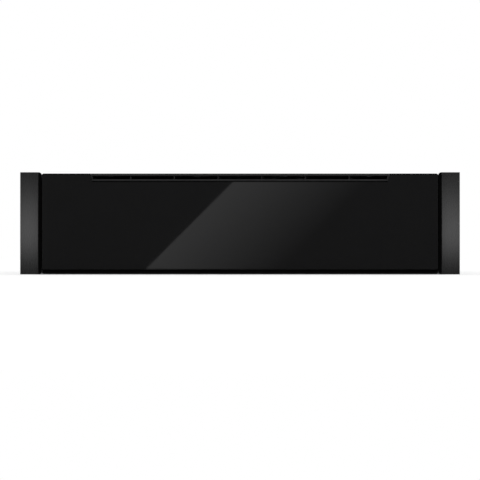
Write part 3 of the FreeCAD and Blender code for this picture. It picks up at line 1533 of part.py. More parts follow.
drum_left = drum_x - s.drum_length / 2
drum_right = drum_x + s.drum_length / 2
drum_at = (drum_y, s.drum_axis_height)
drum_outer = rod("drum_outer", "X", s.drum_width, (drum_left, *drum_at), s.drum_length)
drum_collar = rod(
    "drum_collar", "X", s.drum_width + 2 * s.drum_wall, (drum_right - 2 * s.drum_wall, *drum_at),
    s.drum_wall)
drum_feet = []
for i, x in enumerate((drum_left + 2 * s.drum_foot, drum_right - 3 * s.drum_foot)):
    drum_feet.append(block(
        f"drum_foot_{i}", (x, x + s.drum_foot), (
            drum_y - s.drum_foot_width / 2, drum_y + s.drum_foot_width / 2),
        (s.sheet, s.drum_axis_height)))
inlet_z = s.dock_height
drum_inlet = rod(
    "drum_inlet", "X", s.stub, (drum_right - s.drum_wall / 2, drum_y, inlet_z),
    s.stub_length + s.drum_wall / 2)
drum_room = rod(
    "drum_room", "X", s.drum_width - 2 * s.drum_wall, (drum_left + s.drum_wall, *drum_at),
    s.drum_length - 2 * s.drum_wall)
nozzle_back = drum_y - s.drum_width / 2 + s.drum_wall * 4
drum_outlet = rod(
    "drum_outlet", "Y", s.nozzle_width + s.screw_play,
    (tub_x, drum_y - s.drum_width / 2, port_height), s.drum_width / 2)
inlet_bore = rod(
    "drum_inlet_bore", "X", s.stub / 2, (drum_right - s.drum_wall, drum_y, inlet_z),
    s.stub_length + s.drum_wall)
element_y = [drum_y - s.element_spread / 2, drum_y + s.element_spread / 2]
element_bores = [
    rod(
        f"element_hole_{i}", "X", s.element_tube + s.screw_play,
        (drum_right - s.drum_wall, y, s.drum_axis_height), s.drum_wall)
    for i, y in enumerate(element_y)]
drum_shell = join("drum_shell", drum_outer, drum_collar, *drum_feet, drum_inlet)
node("steam_generator", cut("drum", drum_shell, drum_room, drum_outlet, inlet_bore, *element_bores))

element_bend = drum_right - s.drum_wall - s.element_length
legs = [
    rod(
        f"element_leg_{i}", "X", s.element_tube, (element_bend, y, s.drum_axis_height),
        s.element_length + s.drum_wall + s.element_end)
    for i, y in enumerate(element_y)]
tags = [
    block(f"element_tag_{i}", (drum_right + s.element_end, drum_right + s.element_end + s.tag_length),
          (y - s.tag_sheet / 2, y + s.tag_sheet / 2),
          (s.drum_axis_height - s.tag_width / 2, s.drum_axis_height + s.tag_width / 2))
    for i, y in enumerate(element_y)]
bend = doc.addObject("Part::Torus", "element_return")
bind(bend, "Radius1", s.element_spread / 2)
bind(bend, "Radius2", s.element_tube / 2)
bend.Angle3 = 180
bend.Placement = Placement(Vector(), Rotation(Vector(0, 0, 1), 90))
move(bend, element_bend, drum_y, s.drum_axis_height)
node("heating_element", join("element", *legs, bend, *tags))

nozzle_front = bay_depth - s.nozzle_reach
nozzle_tube = rod(
    "nozzle_tube", "Y", s.nozzle_width, (tub_x, nozzle_front, port_height), nozzle_back - nozzle_front)
nozzle_plate = rod(
    "nozzle_plate", "Y", s.nozzle_flange,
    (tub_x, bay_depth - s.nozzle_flange_thickness, port_height), s.nozzle_flange_thickness)
nozzle_bore = rod(
    "nozzle_bore", "Y", s.nozzle_bore, (tub_x, nozzle_front, port_height), nozzle_back - nozzle_front)
node("steam_nozzle", cut("nozzle", join("nozzle_shell", nozzle_tube, nozzle_plate), nozzle_bore))


# Water path: tank coupling, pump and two hoses

spigot_front = valve_tip + s.push_gap
coupling_end = bulkhead_back + s.coupling_back
at_dock = (tank_x, s.dock_height)


def dock_rod(name, width, start, end):
    return rod(name, "Y", width, (at_dock[0], start, at_dock[1]), end - start)


coupling_parts = [
    dock_rod("coupling_spigot", s.dock_spigot, spigot_front, bay_depth),
    dock_rod("coupling_plate", s.coupling_flange, bay_depth - s.coupling_flange_thickness, bay_depth),
    dock_rod("coupling_core", s.coupling_body, bay_depth, coupling_end),
    dock_rod("coupling_stub", s.stub, coupling_end, coupling_end + s.stub_length),
]
coupling_bores = [
    dock_rod("coupling_bore", s.dock_bore, spigot_front, bay_depth),
    dock_rod("coupling_way", s.stub / 2, bay_depth, coupling_end + s.stub_length),
]
node("tank_coupling", cut("coupling", join("coupling_shell", *coupling_parts), *coupling_bores))

pump_y = drum_y
pump_body = rod("pump_body", "X", s.pump_width, (pump_left, pump_y, s.dock_height), s.pump_length)
core_left = pump_left + s.pump_core / 2
core_x = (core_left, core_left + s.pump_core)
pump_core = block(
    "pump_core", core_x, (
        pump_y - s.pump_core_height / 2, pump_y + s.pump_core_height / 2),
    (s.dock_height - s.pump_core_height / 2, s.dock_height + s.pump_core_height / 2))
pump_foot = block(
    "pump_foot", core_x, (
        pump_y - s.pump_core / 2, pump_y + s.pump_core / 2),
    (s.sheet, s.dock_height))
pump_stubs = [
    rod("pump_outlet", "X", s.stub, (pump_left - s.stub_length, pump_y, s.dock_height), s.stub_length),
    rod("pump_inlet", "X", s.stub, (pump_right, pump_y, s.dock_height), s.stub_length),
]
node("water_pump", join("pump", pump_body, pump_core, pump_foot, *pump_stubs))

hose_bore = s.stub + s.screw_play
feed_start = drum_right + s.hose_end_gap
feed_length = pump_left - s.hose_end_gap - feed_start
feed_outer = rod("feed_outer", "X", s.hose_width, (feed_start, pump_y, s.dock_height), feed_length)
feed_inner = rod("feed_inner", "X", hose_bore, (feed_start, pump_y, s.dock_height), feed_length)
feed_hose = cut("feed_hose", feed_outer, feed_inner)
hose_y = value_of(coupling_end + s.hose_end_gap)
hose_x = value_of(pump_right + s.hose_end_gap)
bend_size = value_of(s.hose_bend)
dock_x = value_of(tank_x)
dock_z = value_of(s.dock_height)
end_y = value_of(pump_y)
arc_middle = Vector(dock_x - bend_size, end_y - bend_size, dock_z)
half_turn = math.sqrt(0.5) * bend_size
supply_path = Part.Wire([
    Part.makeLine(Vector(dock_x, hose_y, dock_z), Vector(dock_x, end_y - bend_size, dock_z)),
    Part.Arc(Vector(dock_x, end_y - bend_size, dock_z), arc_middle + Vector(half_turn, half_turn, 0),
             Vector(dock_x - bend_size, end_y, dock_z)).toShape(),
    Part.makeLine(Vector(dock_x - bend_size, end_y, dock_z), Vector(hose_x, end_y, dock_z)),
])
supply_hose = doc.addObject("Part::Feature", "supply_hose")
supply_hose.Shape = tube_along(supply_path, s.hose_width).cut(tube_along(supply_path, hose_bore))
node("water_hoses", group("water_hose_set", feed_hose, supply_hose))


# Electrics: power board on stand-offs, terminal block and cable gland

power_right = power_left + s.power_board_width
power_front = bulkhead_back + s.power_board_gap
power_rear = power_front + s.power_board_depth
power_low = s.sheet + s.power_board_lift
power_top = power_low + s.board_sheet
power_parts = [
    block("power_plate", (power_left, power_right), (power_front, power_rear), (power_low, power_top))]
for i, x in enumerate((power_left + s.standoff_inset, power_right - s.standoff_inset)):
    for j, y in enumerate((power_front + s.standoff_inset, power_rear - s.standoff_inset)):
        power_parts.append(
            rod(f"power_leg_{i}_{j}", "Z", s.standoff, (x, y, s.sheet), s.power_board_lift))
relay_front = power_front + s.relay_width / 2
for i in range(int(s.relay_count.value)):
    relay_x = power_left + s.relay_width + i * s.relay_pitch
    power_parts.append(block(
        f"power_relay_{i}", (relay_x, relay_x + s.relay_width), (
            relay_front, relay_front + s.relay_width),
        (power_top, power_top + s.relay_height)))
power_parts.append(rod(
    "power_store", "Z", s.relay_width,
    (power_right - s.relay_width, power_front + s.relay_width, power_top), s.store_height))
node("power_board", join("power_board_parts", *power_parts))

terminal_left = gland_x - s.terminal_width / 2
terminal_front = rear_in - s.terminal_back_gap - s.terminal_depth
terminal = block(
    "terminal_base", (terminal_left, terminal_left + s.terminal_width), (
        terminal_front, terminal_front + s.terminal_depth),
    (s.sheet, s.sheet + s.terminal_height))
terminal_slots = []
terminal_pitch = s.terminal_width / s.terminal_slot_count
for i in range(int(s.terminal_slot_count.value)):
    slot_left = terminal_left + terminal_pitch * (i + 0.5) - s.terminal_slot / 2
    terminal_slots.append(block(
        f"terminal_slot_{i}", (slot_left, slot_left + s.terminal_slot), (
            terminal_front, terminal_front + s.terminal_depth),
        (s.sheet + s.terminal_height / 2, s.sheet + s.terminal_height)))
node("terminal_block", cut("terminal", terminal, *terminal_slots))

gland = new_body("cable_gland", x=gland_x, y=s.housing_depth, z=s.gland_height)
gland_inside = -s.sheet - s.gland_nut_length
gland_outside = s.gland_nut_length + s.gland_dome_length
revolve(gland, polygon(gland, "XY_Plane", [
    (s.gland_bore / 2, gland_inside), (s.gland_nut / 2, gland_inside), (s.gland_nut / 2, -s.sheet), (
        s.gland_thread / 2, -s.sheet),
    (s.gland_thread / 2, 0), (s.gland_nut / 2, 0), (s.gland_nut / 2, s.gland_nut_length), (
        s.gland_dome / 2, s.gland_nut_length),
    (s.gland_dome / 2, gland_outside - s.gland_cone), (s.gland_bore / 2 + s.gland_lip, gland_outside),
    (s.gland_bore / 2, gland_outside)]), "Y_Axis")


# Cooling fan on the rear panel

fan_front = rear_in - s.fan_thickness
fan_half = s.fan_width / 2
fan_block = block(
    "fan_block", (fan_x - fan_half, fan_x + fan_half), (fan_front, rear_in), (
        s.fan_height - fan_half, s.fan_height + fan_half))
fan_way = rod("fan_way", "Y", s.fan_bore, (fan_x, fan_front, s.fan_height), s.fan_thickness)
fan_bars = [
    block("fan_bar_across", (fan_x - fan_half, fan_x + fan_half), (fan_front, fan_front + s.fan_strut),
          (s.fan_height - s.fan_strut / 2, s.fan_height + s.fan_strut / 2)),
    block("fan_bar_up", (fan_x - s.fan_strut / 2, fan_x + s.fan_strut / 2), (
        fan_front, fan_front + s.fan_strut),
          (s.fan_height - fan_half, s.fan_height + fan_half)),
    rod("fan_motor", "Y", s.fan_hub, (fan_x, fan_front, s.fan_height), s.fan_strut),
]
fan_bearing = rod(
    "fan_bearing", "Y", s.fan_shaft + 2 * s.fan_shaft_play,
    (fan_x, fan_front + s.fan_bearing_floor, s.fan_height), s.fan_strut)
node(
    "fan_frame",
    cut(
        "fan_frame_bored", join("fan_frame_parts", cut("fan_duct", fan_block, fan_way), *fan_bars),
        fan_bearing))

hub_front = fan_front + s.fan_strut + s.fan_play
rotor = new_body("fan_rotor", x=fan_x, y=hub_front, z=s.fan_height)
pad(rotor, circle(rotor, "XZ_Plane", 0, 0, s.fan_hub), s.fan_hub_length, backward=True)
pad(
    rotor, circle(rotor, "XZ_Plane", 0, 0, s.fan_shaft),
    s.fan_play + s.fan_strut - s.fan_bearing_floor - s.fan_shaft_gap)
blade_root = s.fan_hub / 2 - s.blade_sink
blade_back = s.fan_hub_length - s.blade_inset
blade_tip = s.fan_bore / 2 - s.fan_play
blade_half = s.fan_hub / 4
blade = pad(rotor, polygon(rotor, "YZ_Plane", [
    (s.blade_inset, -blade_half), (s.blade_inset + s.blade_sheet, -blade_half),
    (blade_back, blade_half), (blade_back - s.blade_sheet, blade_half)], blade_root),
    blade_tip - blade_root - s.blade_tip_gap)
polar(rotor, blade, "Y_Axis", s.fan_blades)


# Push latch: the plunger stands just behind the drawer's back

latch_front = bay_depth - s.latch_flange_thickness
latch_at = (latch_x, s.latch_height)


def latch_rod(name, width, start, length):
    return rod(name, "Y", width, (latch_at[0], start, latch_at[1]), length)


latch_plate = latch_rod("latch_plate", s.latch_flange, latch_front, s.latch_flange_thickness)
latch_tube = latch_rod("latch_tube", s.latch_body, latch_front, s.latch_length)
latch_bore = latch_rod(
    "latch_bore", s.plunger + 2 * s.plunger_play, latch_front, s.latch_length - s.latch_floor)
node("push_latch", cut("latch", join("latch_shell", latch_plate, latch_tube), latch_bore))
plunger = new_body("latch_plunger", x=latch_x, y=drawer_depth + s.push_gap, z=s.latch_height)
pad(plunger, circle(plunger, "XZ_Plane", 0, 0, s.plunger), s.plunger_length, backward=True)
plunger_round = s.plunger / 6
fillet(plunger, plunger_round, lambda shape: edges_in_plane(shape, "Y", 0))


# Build, check and export

doc.recompute()
broken = []
for obj in doc.Objects:
    if "Invalid" in obj.State or "Error" in obj.State:
        broken.append(obj.Label)
for obj in NODES:
    if obj.Shape.isNull() or not obj.Shape.isValid() or not obj.Shape.Solids:
        broken.append(obj.Label)
if broken:
    raise RuntimeError("not built: " + ", ".join(sorted(set(broken))))
os.makedirs("parts", exist_ok=True)
for obj in NODES:
    obj.Shape.exportStep(f"parts/{obj.Label}.step")
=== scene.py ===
import math

import bmesh
import bpy
from mathutils import Matrix, Vector


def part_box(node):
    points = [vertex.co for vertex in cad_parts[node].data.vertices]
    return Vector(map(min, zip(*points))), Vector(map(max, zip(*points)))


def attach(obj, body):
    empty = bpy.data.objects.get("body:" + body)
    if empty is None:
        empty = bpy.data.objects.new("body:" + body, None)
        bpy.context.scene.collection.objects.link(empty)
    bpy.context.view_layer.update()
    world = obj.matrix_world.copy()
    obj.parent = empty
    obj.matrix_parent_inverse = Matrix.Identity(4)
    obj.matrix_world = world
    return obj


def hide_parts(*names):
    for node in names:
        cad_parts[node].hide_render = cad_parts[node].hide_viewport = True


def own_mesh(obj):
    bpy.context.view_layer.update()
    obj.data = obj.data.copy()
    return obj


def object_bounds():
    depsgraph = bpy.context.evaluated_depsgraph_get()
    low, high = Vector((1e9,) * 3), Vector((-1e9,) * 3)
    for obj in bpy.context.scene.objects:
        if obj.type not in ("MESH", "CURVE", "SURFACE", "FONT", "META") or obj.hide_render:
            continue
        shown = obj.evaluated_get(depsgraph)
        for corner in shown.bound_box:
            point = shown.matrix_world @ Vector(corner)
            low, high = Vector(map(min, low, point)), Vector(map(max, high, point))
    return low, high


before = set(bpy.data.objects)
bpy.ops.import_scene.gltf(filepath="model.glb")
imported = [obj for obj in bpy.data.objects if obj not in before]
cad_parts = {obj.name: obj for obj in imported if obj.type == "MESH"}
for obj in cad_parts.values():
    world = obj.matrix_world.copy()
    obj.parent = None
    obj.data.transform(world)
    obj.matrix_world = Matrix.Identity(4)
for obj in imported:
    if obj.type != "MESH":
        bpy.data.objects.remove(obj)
cad_low, cad_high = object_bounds()


# The housing is a box of folded sheet, open at the front, with a bulkhead across it at the back.
# It is one millimetre galvanised steel, whose zinc coat shows as flat crystals eight millimetres wide.
# The sheets are cut, folded and screwed to each other through their folds.

def shader(tree):
    return tree.nodes["Principled BSDF"]


def new_finish(name, metallic=0.0, specular=0.5):
    """A node material and its tree, ready for a surface of its own."""
    finish = bpy.data.materials.new(name)
    finish.use_nodes = True
    sockets = shader(finish.node_tree).inputs
    sockets["Metallic"].default_value = metallic
    sockets["Specular IOR Level"].default_value = specular
    return finish, finish.node_tree


def stretched_place(tree, cell, stretch=(1, 1, 1)):
    """Positions on the piece itself, counted in cells that are longer along the stretched axes."""
    place = tree.nodes.new("ShaderNodeTexCoord")
    scale = tree.nodes.new("ShaderNodeMapping")
    scale.inputs["Scale"].default_value = [1 / (cell * length) for length in stretch]
    tree.links.new(place.outputs["Object"], scale.inputs["Vector"])
    return scale.outputs["Vector"]


def mottle(tree, cell, stretch=(1, 1, 1), detail=3.0):
    """Soft uneven patches of a given size in metres."""
    noise = tree.nodes.new("ShaderNodeTexNoise")
    noise.inputs["Scale"].default_value = 1.0
    noise.inputs["Detail"].default_value = detail
    tree.links.new(stretched_place(tree, cell, stretch), noise.inputs["Vector"])
    return noise.outputs["Fac"]


def tint(tree, value, dark, light, low=0.3, high=0.7):
    """A colour that runs from dark to light with a value."""
    ramp = tree.nodes.new("ShaderNodeValToRGB")
    for element, position, colour in zip(ramp.color_ramp.elements, (low, high), (dark, light)):
        element.position = position
        element.color = (*colour, 1.0)
    tree.links.new(value, ramp.inputs["Fac"])
    return ramp.outputs["Color"]


def span(tree, value, start, end, low=0.3, high=0.7, course="LINEAR"):
    """A number that runs from start to end with a value."""
    ramp = tree.nodes.new("ShaderNodeMapRange")
    ramp.interpolation_type = course
    for socket, number in zip(("From Min", "From Max", "To Min", "To Max"), (low, high, start, end)):
        ramp.inputs[socket].default_value = number
    tree.links.new(value, ramp.inputs["Value"])
    return ramp.outputs["Result"]


def coat(tree, shade, gloss, dark, light, smooth, rough, low=0.3, high=0.7):
    """A surface whose colour follows one value and whose roughness follows another."""
    sockets = shader(tree).inputs
    tree.links.new(tint(tree, shade, dark, light, low, high), sockets["Base Color"])
    tree.links.new(span(tree, gloss, smooth, rough, low, high), sockets["Roughness"])


def relief(tree, value, height):
    """Small unevenness of a given height in metres."""
    bump = tree.nodes.new("ShaderNodeBump")
    bump.inputs["Distance"].default_value = height
    tree.links.new(value, bump.inputs["Height"])
    tree.links.new(bump.outputs["Normal"], shader(tree).inputs["Normal"])


def give(finish, *nodes):
    """Puts a finish on pieces that keep their shape."""
    for name in nodes:
        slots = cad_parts[name].data.materials
        slots.clear()
        slots.append(finish)


def galvanised_sheet():
    finish, tree = new_finish("galvanised_sheet", metallic=1.0)
    crystals = tree.nodes.new("ShaderNodeTexVoronoi")
    crystals.inputs["Scale"].default_value = 1.0
    tree.links.new(stretched_place(tree, cell=0.008), crystals.inputs["Vector"])
    facet = tree.nodes.new("ShaderNodeSeparateColor")
    tree.links.new(crystals.outputs["Color"], facet.inputs["Color"])
    coat(tree, facet.outputs["Red"], facet.outputs["Green"], dark=(0.44, 0.45, 0.46),
         light=(0.51, 0.52, 0.53), smooth=0.36, rough=0.5, low=0.0, high=1.0)
    relief(tree, mottle(tree, cell=0.004), height=0.00001)
    return finish


SHEET = 0.001
galvanised = galvanised_sheet()
give(galvanised, "housing_base", "housing_top", "housing_side_left", "housing_side_right",
     "housing_rear", "bulkhead", "lid_rails")


# The housing's screws are pan heads with a cross recess, cold formed in steel and zinc plated.
# They hold the folds, the rails, the runners and the trims; each stands where its solid stands.

def zinc_plate():
    finish, tree = new_finish("zinc_plate", metallic=1.0)
    grain = mottle(tree, cell=0.0012)
    coat(tree, mottle(tree, cell=0.006), grain, dark=(0.5, 0.51, 0.53), light=(0.64, 0.65, 0.66),
         smooth=0.2, rough=0.36)
    relief(tree, grain, height=0.000006)
    return finish


zinc_plated = zinc_plate()
SCREW_HEAD_RADIUS = 0.0035
SCREW_HEAD_HEIGHT = 0.0014
CROWN_WIDE = 0.45
SHOULDER_WIDE = 0.78
SHOULDER_HIGH = 0.86
BROW_WIDE = 0.95
BROW_HIGH = 0.55
RIM_HIGH = 0.2
SCREW_SHANK_RADIUS = 0.00175
SCREW_SEGMENTS = 24
RECESS_LENGTH = 0.0038
RECESS_WIDTH = 0.0008
RECESS_DEPTH = 0.0009
RECESS_OVERCUT = 0.0001
HEAD_RIM_SHARE = 0.9
SOLID_WELD = 1e-6
PLACE_DIGITS = 5


def mesh_of(shape, name):
    """Ends the making of a shape and gives its mesh."""
    mesh = bpy.data.meshes.new(name)
    shape.to_mesh(mesh)
    shape.free()
    return mesh


def wall(shape, near, far):
    """Faces between two rings that have as many points."""
    for i in range(len(near)):
        k = (i + 1) % len(near)
        shape.faces.new((near[i], near[k], far[k], far[i]))


def turned(name, profile, segments):
    """A solid turned round the upright axis: (radius, height) points, the first and last on the axis."""
    shape = bmesh.new()
    angles = [i * math.tau / segments for i in range(segments)]
    rings = []
    for radius, height in profile[1:-1]:
        circle = [(radius * math.cos(angle), radius * math.sin(angle), height) for angle in angles]
        rings.append([shape.verts.new(point) for point in circle])
    for near, far in zip(rings, rings[1:]):
        wall(shape, near, far)
    for end in (0, -1):
        tip = shape.verts.new((0, 0, profile[end][1]))
        for i in range(segments):
            shape.faces.new((tip, rings[end][i - 1], rings[end][i]))
    bmesh.ops.recalc_face_normals(shape, faces=shape.faces)
    return mesh_of(shape, name)


def bar_mesh(name, size, middle):
    """A square-edged bar, used to cut recesses."""
    shape = bmesh.new()
    bmesh.ops.create_cube(shape, size=1.0)
    bmesh.ops.scale(shape, vec=size, verts=shape.verts)
    bmesh.ops.translate(shape, vec=middle, verts=shape.verts)
    return mesh_of(shape, name)


def cut_away(mesh, *tools):
    """A mesh with the tools' shapes cut out of it."""
    work = bpy.data.objects.new("cut_work", mesh)
    bpy.context.scene.collection.objects.link(work)
    cutters = []
    for tool in tools:
        cutter = bpy.data.objects.new("cut_tool", tool)
        bpy.context.scene.collection.objects.link(cutter)
        cutters.append(cutter)
        step = work.modifiers.new("cut", "BOOLEAN")
        step.operation = "DIFFERENCE"
        step.solver = "EXACT"
        step.object = cutter
    seen = work.evaluated_get(bpy.context.evaluated_depsgraph_get())
    result = bpy.data.meshes.new_from_object(seen)
    for extra in (work, *cutters):
        bpy.data.objects.remove(extra)
    return result


def cross_screw(shank_length):
    """A pan head screw whose head stands above the origin, its curve in shares of its radius and height."""
    head = SCREW_HEAD_RADIUS
    top = SCREW_HEAD_HEIGHT
    crown = [(0, top), (head * CROWN_WIDE, top)]
    shoulder = [(head * SHOULDER_WIDE, top * SHOULDER_HIGH), (head * BROW_WIDE, top * BROW_HIGH)]
    rim = [(head, top * RIM_HIGH), (head, 0)]
    shank = [(SCREW_SHANK_RADIUS, 0), (SCREW_SHANK_RADIUS, -shank_length), (0, -shank_length)]
    mesh = turned("cross_screw", crown + shoulder + rim + shank, SCREW_SEGMENTS)
    middle = (0, 0, top - RECESS_DEPTH / 2 + RECESS_OVERCUT)
    depth = RECESS_DEPTH + 2 * RECESS_OVERCUT
    return cut_away(mesh, bar_mesh("recess_one", (RECESS_LENGTH, RECESS_WIDTH, depth), middle),
                    bar_mesh("recess_two", (RECESS_WIDTH, RECESS_LENGTH, depth), middle))


def separate_solids(node):
    """The corner points of each solid in a node that holds several."""
    shape = bmesh.new()
    shape.from_mesh(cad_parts[node].data)
    bmesh.ops.remove_doubles(shape, verts=shape.verts, dist=SOLID_WELD)
    unseen = set(shape.verts)
    groups = []
    while unseen:
        front = [unseen.pop()]
        points = []
        while front:
            vertex = front.pop()
            points.append(vertex.co.copy())
            for edge in vertex.link_edges:
                other = edge.other_vert(vertex)
                if other in unseen:
                    unseen.remove(other)
                    front.append(other)
        groups.append(points)
    shape.free()
    return sorted(groups, key=lambda group: tuple(round(x, PLACE_DIGITS) for x in min(group, key=tuple)))


def reach_of(points):
    """The lowest and highest corners of a group of points."""
    low = Vector(min(p[i] for p in points) for i in range(3))
    high = Vector(max(p[i] for p in points) for i in range(3))
    return low, high


def screw_place(points):
    """Where a screw's solid has the underside of its head, the way its head looks, and its shank's length."""
    low, high = reach_of(points)
    middle = (low + high) / 2
    axis = max(range(3), key=lambda i: abs((high - low)[i] - 2 * SCREW_HEAD_RADIUS))
    side = (axis + 1) % 3
    widest = [p for p in points if abs(p[side] - middle[side]) > HEAD_RIM_SHARE * SCREW_HEAD_RADIUS]
    head_up = sum(p[axis] for p in widest) / len(widest) > middle[axis]
    way = Vector((0, 0, 0))
    way[axis] = 1 if head_up else -1
    seat = middle.copy()
    seat[axis] = high[axis] - SCREW_HEAD_HEIGHT if head_up else low[axis] + SCREW_HEAD_HEIGHT
    return seat, way, high[axis] - low[axis] - SCREW_HEAD_HEIGHT


def new_piece(name, mesh, finish):
    """A piece of the object with one finish all over."""
    piece = bpy.data.objects.new(name, mesh)
    bpy.context.scene.collection.objects.link(piece)
    mesh.materials.clear()
    mesh.materials.append(finish)
    return piece


def screw_set(name, node):
    """Detailed screws at the places of a node's plain ones."""
    made = {}
    shape = bmesh.new()
    for points in separate_solids(node):
        seat, way, length = screw_place(points)
        key = round(length, PLACE_DIGITS)
        if key not in made:
            made[key] = cross_screw(length)
        first = len(shape.verts)
        shape.from_mesh(made[key])
        shape.verts.ensure_lookup_table()
        turn = way.to_track_quat("Z", "Y").to_matrix().to_4x4()
        bmesh.ops.transform(shape, matrix=Matrix.Translation(seat) @ turn, verts=shape.verts[first:])
    return new_piece(name, mesh_of(shape, name), zinc_plated)


housing_screw_set = screw_set("housing_cross_screws", "housing_screws")
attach(housing_screw_set, "housing")
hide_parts("housing_screws")


# The runners are three nested channels a side, rolled from zinc plated strip, with balls in cages.
# The outer ones stand on turned spacers so that the others clear the trims when the drawer comes out.

give(zinc_plated, "runner_outer_left", "runner_outer_right", "runner_middle_left", "runner_middle_right",
     "runner_inner_left", "runner_inner_right", "runner_spacers", "ball_cage_outer", "ball_cage_inner")


# The steam generator is a cast aluminium drum on two feet, with a bent tubular element inside it.
# Its steam leaves through a steel nozzle, which docks into the tub when the drawer closes.

def cast_metal():
    finish, tree = new_finish("cast_aluminium", metallic=1.0)
    patches = mottle(tree, cell=0.01)
    coat(tree, patches, patches, dark=(0.46, 0.46, 0.47), light=(0.6, 0.6, 0.61), smooth=0.5, rough=0.68)
    relief(tree, mottle(tree, cell=0.0011), height=0.00008)
    return finish


def brushed_steel(name, along, line_length=60):
    """Stainless steel with fine brush lines along one axis, so many times longer than they are wide."""
    finish, tree = new_finish(name, metallic=1.0)
    stretch = [line_length if axis == along else 1 for axis in "XYZ"]
    lines = mottle(tree, cell=0.00035, stretch=stretch, detail=4.0)
    coat(tree, lines, lines, dark=(0.49, 0.485, 0.48), light=(0.61, 0.605, 0.6), smooth=0.24, rough=0.38)
    relief(tree, lines, height=0.000004)
    return finish


def heat_tinted_steel():
    finish, tree = new_finish("heat_tinted_steel", metallic=1.0)
    patches = mottle(tree, cell=0.02)
    coat(tree, patches, patches, dark=(0.3, 0.24, 0.2), light=(0.5, 0.46, 0.42), smooth=0.35, rough=0.5)
    return finish


brushed_across = brushed_steel("brushed_across", "X")
brushed_deep = brushed_steel("brushed_deep", "Y")
give(cast_metal(), "steam_generator")
give(heat_tinted_steel(), "heating_element")
give(brushed_deep, "steam_nozzle")


# Water comes from the tank through a moulded coupling and a small pump, in silicone hoses.
# Coupling and pump are glass filled plastic; the hoses are pushed over their stubs.

BLACK_DARK = (0.0085, 0.0085, 0.009)
BLACK_LIGHT = (0.013, 0.013, 0.0135)


def black_moulding(name, grain, rough, dark=BLACK_DARK, light=BLACK_LIGHT, unevenness=0.06):
    """Black plastic with an eroded grain of a given height."""
    finish, tree = new_finish(name, specular=0.35)
    coat(tree, mottle(tree, cell=0.03), mottle(tree, cell=0.002), dark, light,
         smooth=rough - unevenness, rough=rough + unevenness)
    relief(tree, mottle(tree, cell=0.0004, detail=2.0), grain)
    return finish


def milky_silicone():
    finish, tree = new_finish("milky_silicone", specular=0.4)
    patches = mottle(tree, cell=0.008)
    coat(tree, patches, patches, dark=(0.6, 0.6, 0.57), light=(0.74, 0.74, 0.72), smooth=0.38, rough=0.5)
    shader(tree).inputs["Subsurface Weight"].default_value = 0.25
    shader(tree).inputs["Subsurface Radius"].default_value = (0.004, 0.004, 0.004)
    return finish


grained_black = black_moulding("grained_black_plastic", grain=0.00003, rough=0.5)
give(grained_black, "tank_coupling", "water_pump")
give(milky_silicone(), "water_hoses")


# The electrics are a power board on stand-offs, a terminal block, a cable gland in the rear sheet and
# a cooling fan behind a ring of holes. The boards are green resist over copper with dark components.

def place_apart(tree):
    """Where a point of the piece lies along each axis."""
    place = tree.nodes.new("ShaderNodeTexCoord")
    apart = tree.nodes.new("ShaderNodeSeparateXYZ")
    tree.links.new(place.outputs["Object"], apart.inputs["Vector"])
    return apart.outputs


def circuit_board(name, axis, face, clear):
    """Green resist up to a face along an axis, dark component cases once they are clear of it."""
    finish, tree = new_finish(name)
    tracks = tree.nodes.new("ShaderNodeTexVoronoi")
    tracks.distance = "MANHATTAN"
    tracks.feature = "DISTANCE_TO_EDGE"
    tracks.inputs["Scale"].default_value = 1.0
    tree.links.new(stretched_place(tree, cell=0.007), tracks.inputs["Vector"])
    resist = tint(tree, tracks.outputs["Distance"], dark=(0.035, 0.2, 0.09), light=(0.015, 0.1, 0.045),
                  low=0.04, high=0.07)
    cases = tint(tree, mottle(tree, cell=0.01), dark=(0.02, 0.02, 0.022), light=(0.05, 0.05, 0.055))
    beyond = span(tree, place_apart(tree)[axis], start=0.0, end=1.0, low=face, high=clear)
    blend = tree.nodes.new("ShaderNodeMix")
    blend.data_type = "RGBA"
    colours = [socket for socket in blend.inputs if socket.type == "RGBA"]
    result = next(socket for socket in blend.outputs if socket.type == "RGBA")
    tree.links.new(beyond, blend.inputs["Factor"])
    tree.links.new(resist, colours[0])
    tree.links.new(cases, colours[1])
    tree.links.new(result, shader(tree).inputs["Base Color"])
    gloss = span(tree, mottle(tree, cell=0.003), start=0.3, end=0.45)
    tree.links.new(gloss, shader(tree).inputs["Roughness"])
    return finish


def grey_moulding():
    finish, tree = new_finish("grey_moulding", specular=0.4)
    coat(tree, mottle(tree, cell=0.02), mottle(tree, cell=0.0016), dark=(0.17, 0.17, 0.178),
         light=(0.21, 0.21, 0.218), smooth=0.42, rough=0.55)
    relief(tree, mottle(tree, cell=0.0005, detail=2.0), height=0.00002)
    return finish


BOARD_EDGE = 0.0002
POWER_BOARD_RISE = 0.0086
power_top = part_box("power_board")[0].z + POWER_BOARD_RISE
give(circuit_board("power_board_finish", "Z", power_top, power_top + BOARD_EDGE), "power_board")
grey_plastic = grey_moulding()
give(grey_plastic, "terminal_block")
give(grained_black, "fan_frame", "fan_rotor")

GLAND_BORE = 0.005
GLAND_THREAD = 0.008
GLAND_NUT = 0.012
GLAND_DOME = 0.01
GLAND_NUT_LENGTH = 0.006
GLAND_CONE = 0.003
GLAND_LIP = 0.007
GLAND_FLUTE = 0.0006
GLAND_FLUTES = 12
GLAND_STEPS = 72


def round_edge(radius):
    return lambda angle: radius


def hexagon_edge(radius):
    """The distance from the axis to a hexagon's flats and corners."""
    flat = radius * math.cos(math.pi / 6)
    return lambda angle: flat / math.cos((angle % (math.pi / 3)) - math.pi / 6)


def fluted_edge(radius):
    return lambda angle: radius - GLAND_FLUTE * max(0.0, math.cos(GLAND_FLUTES * angle))


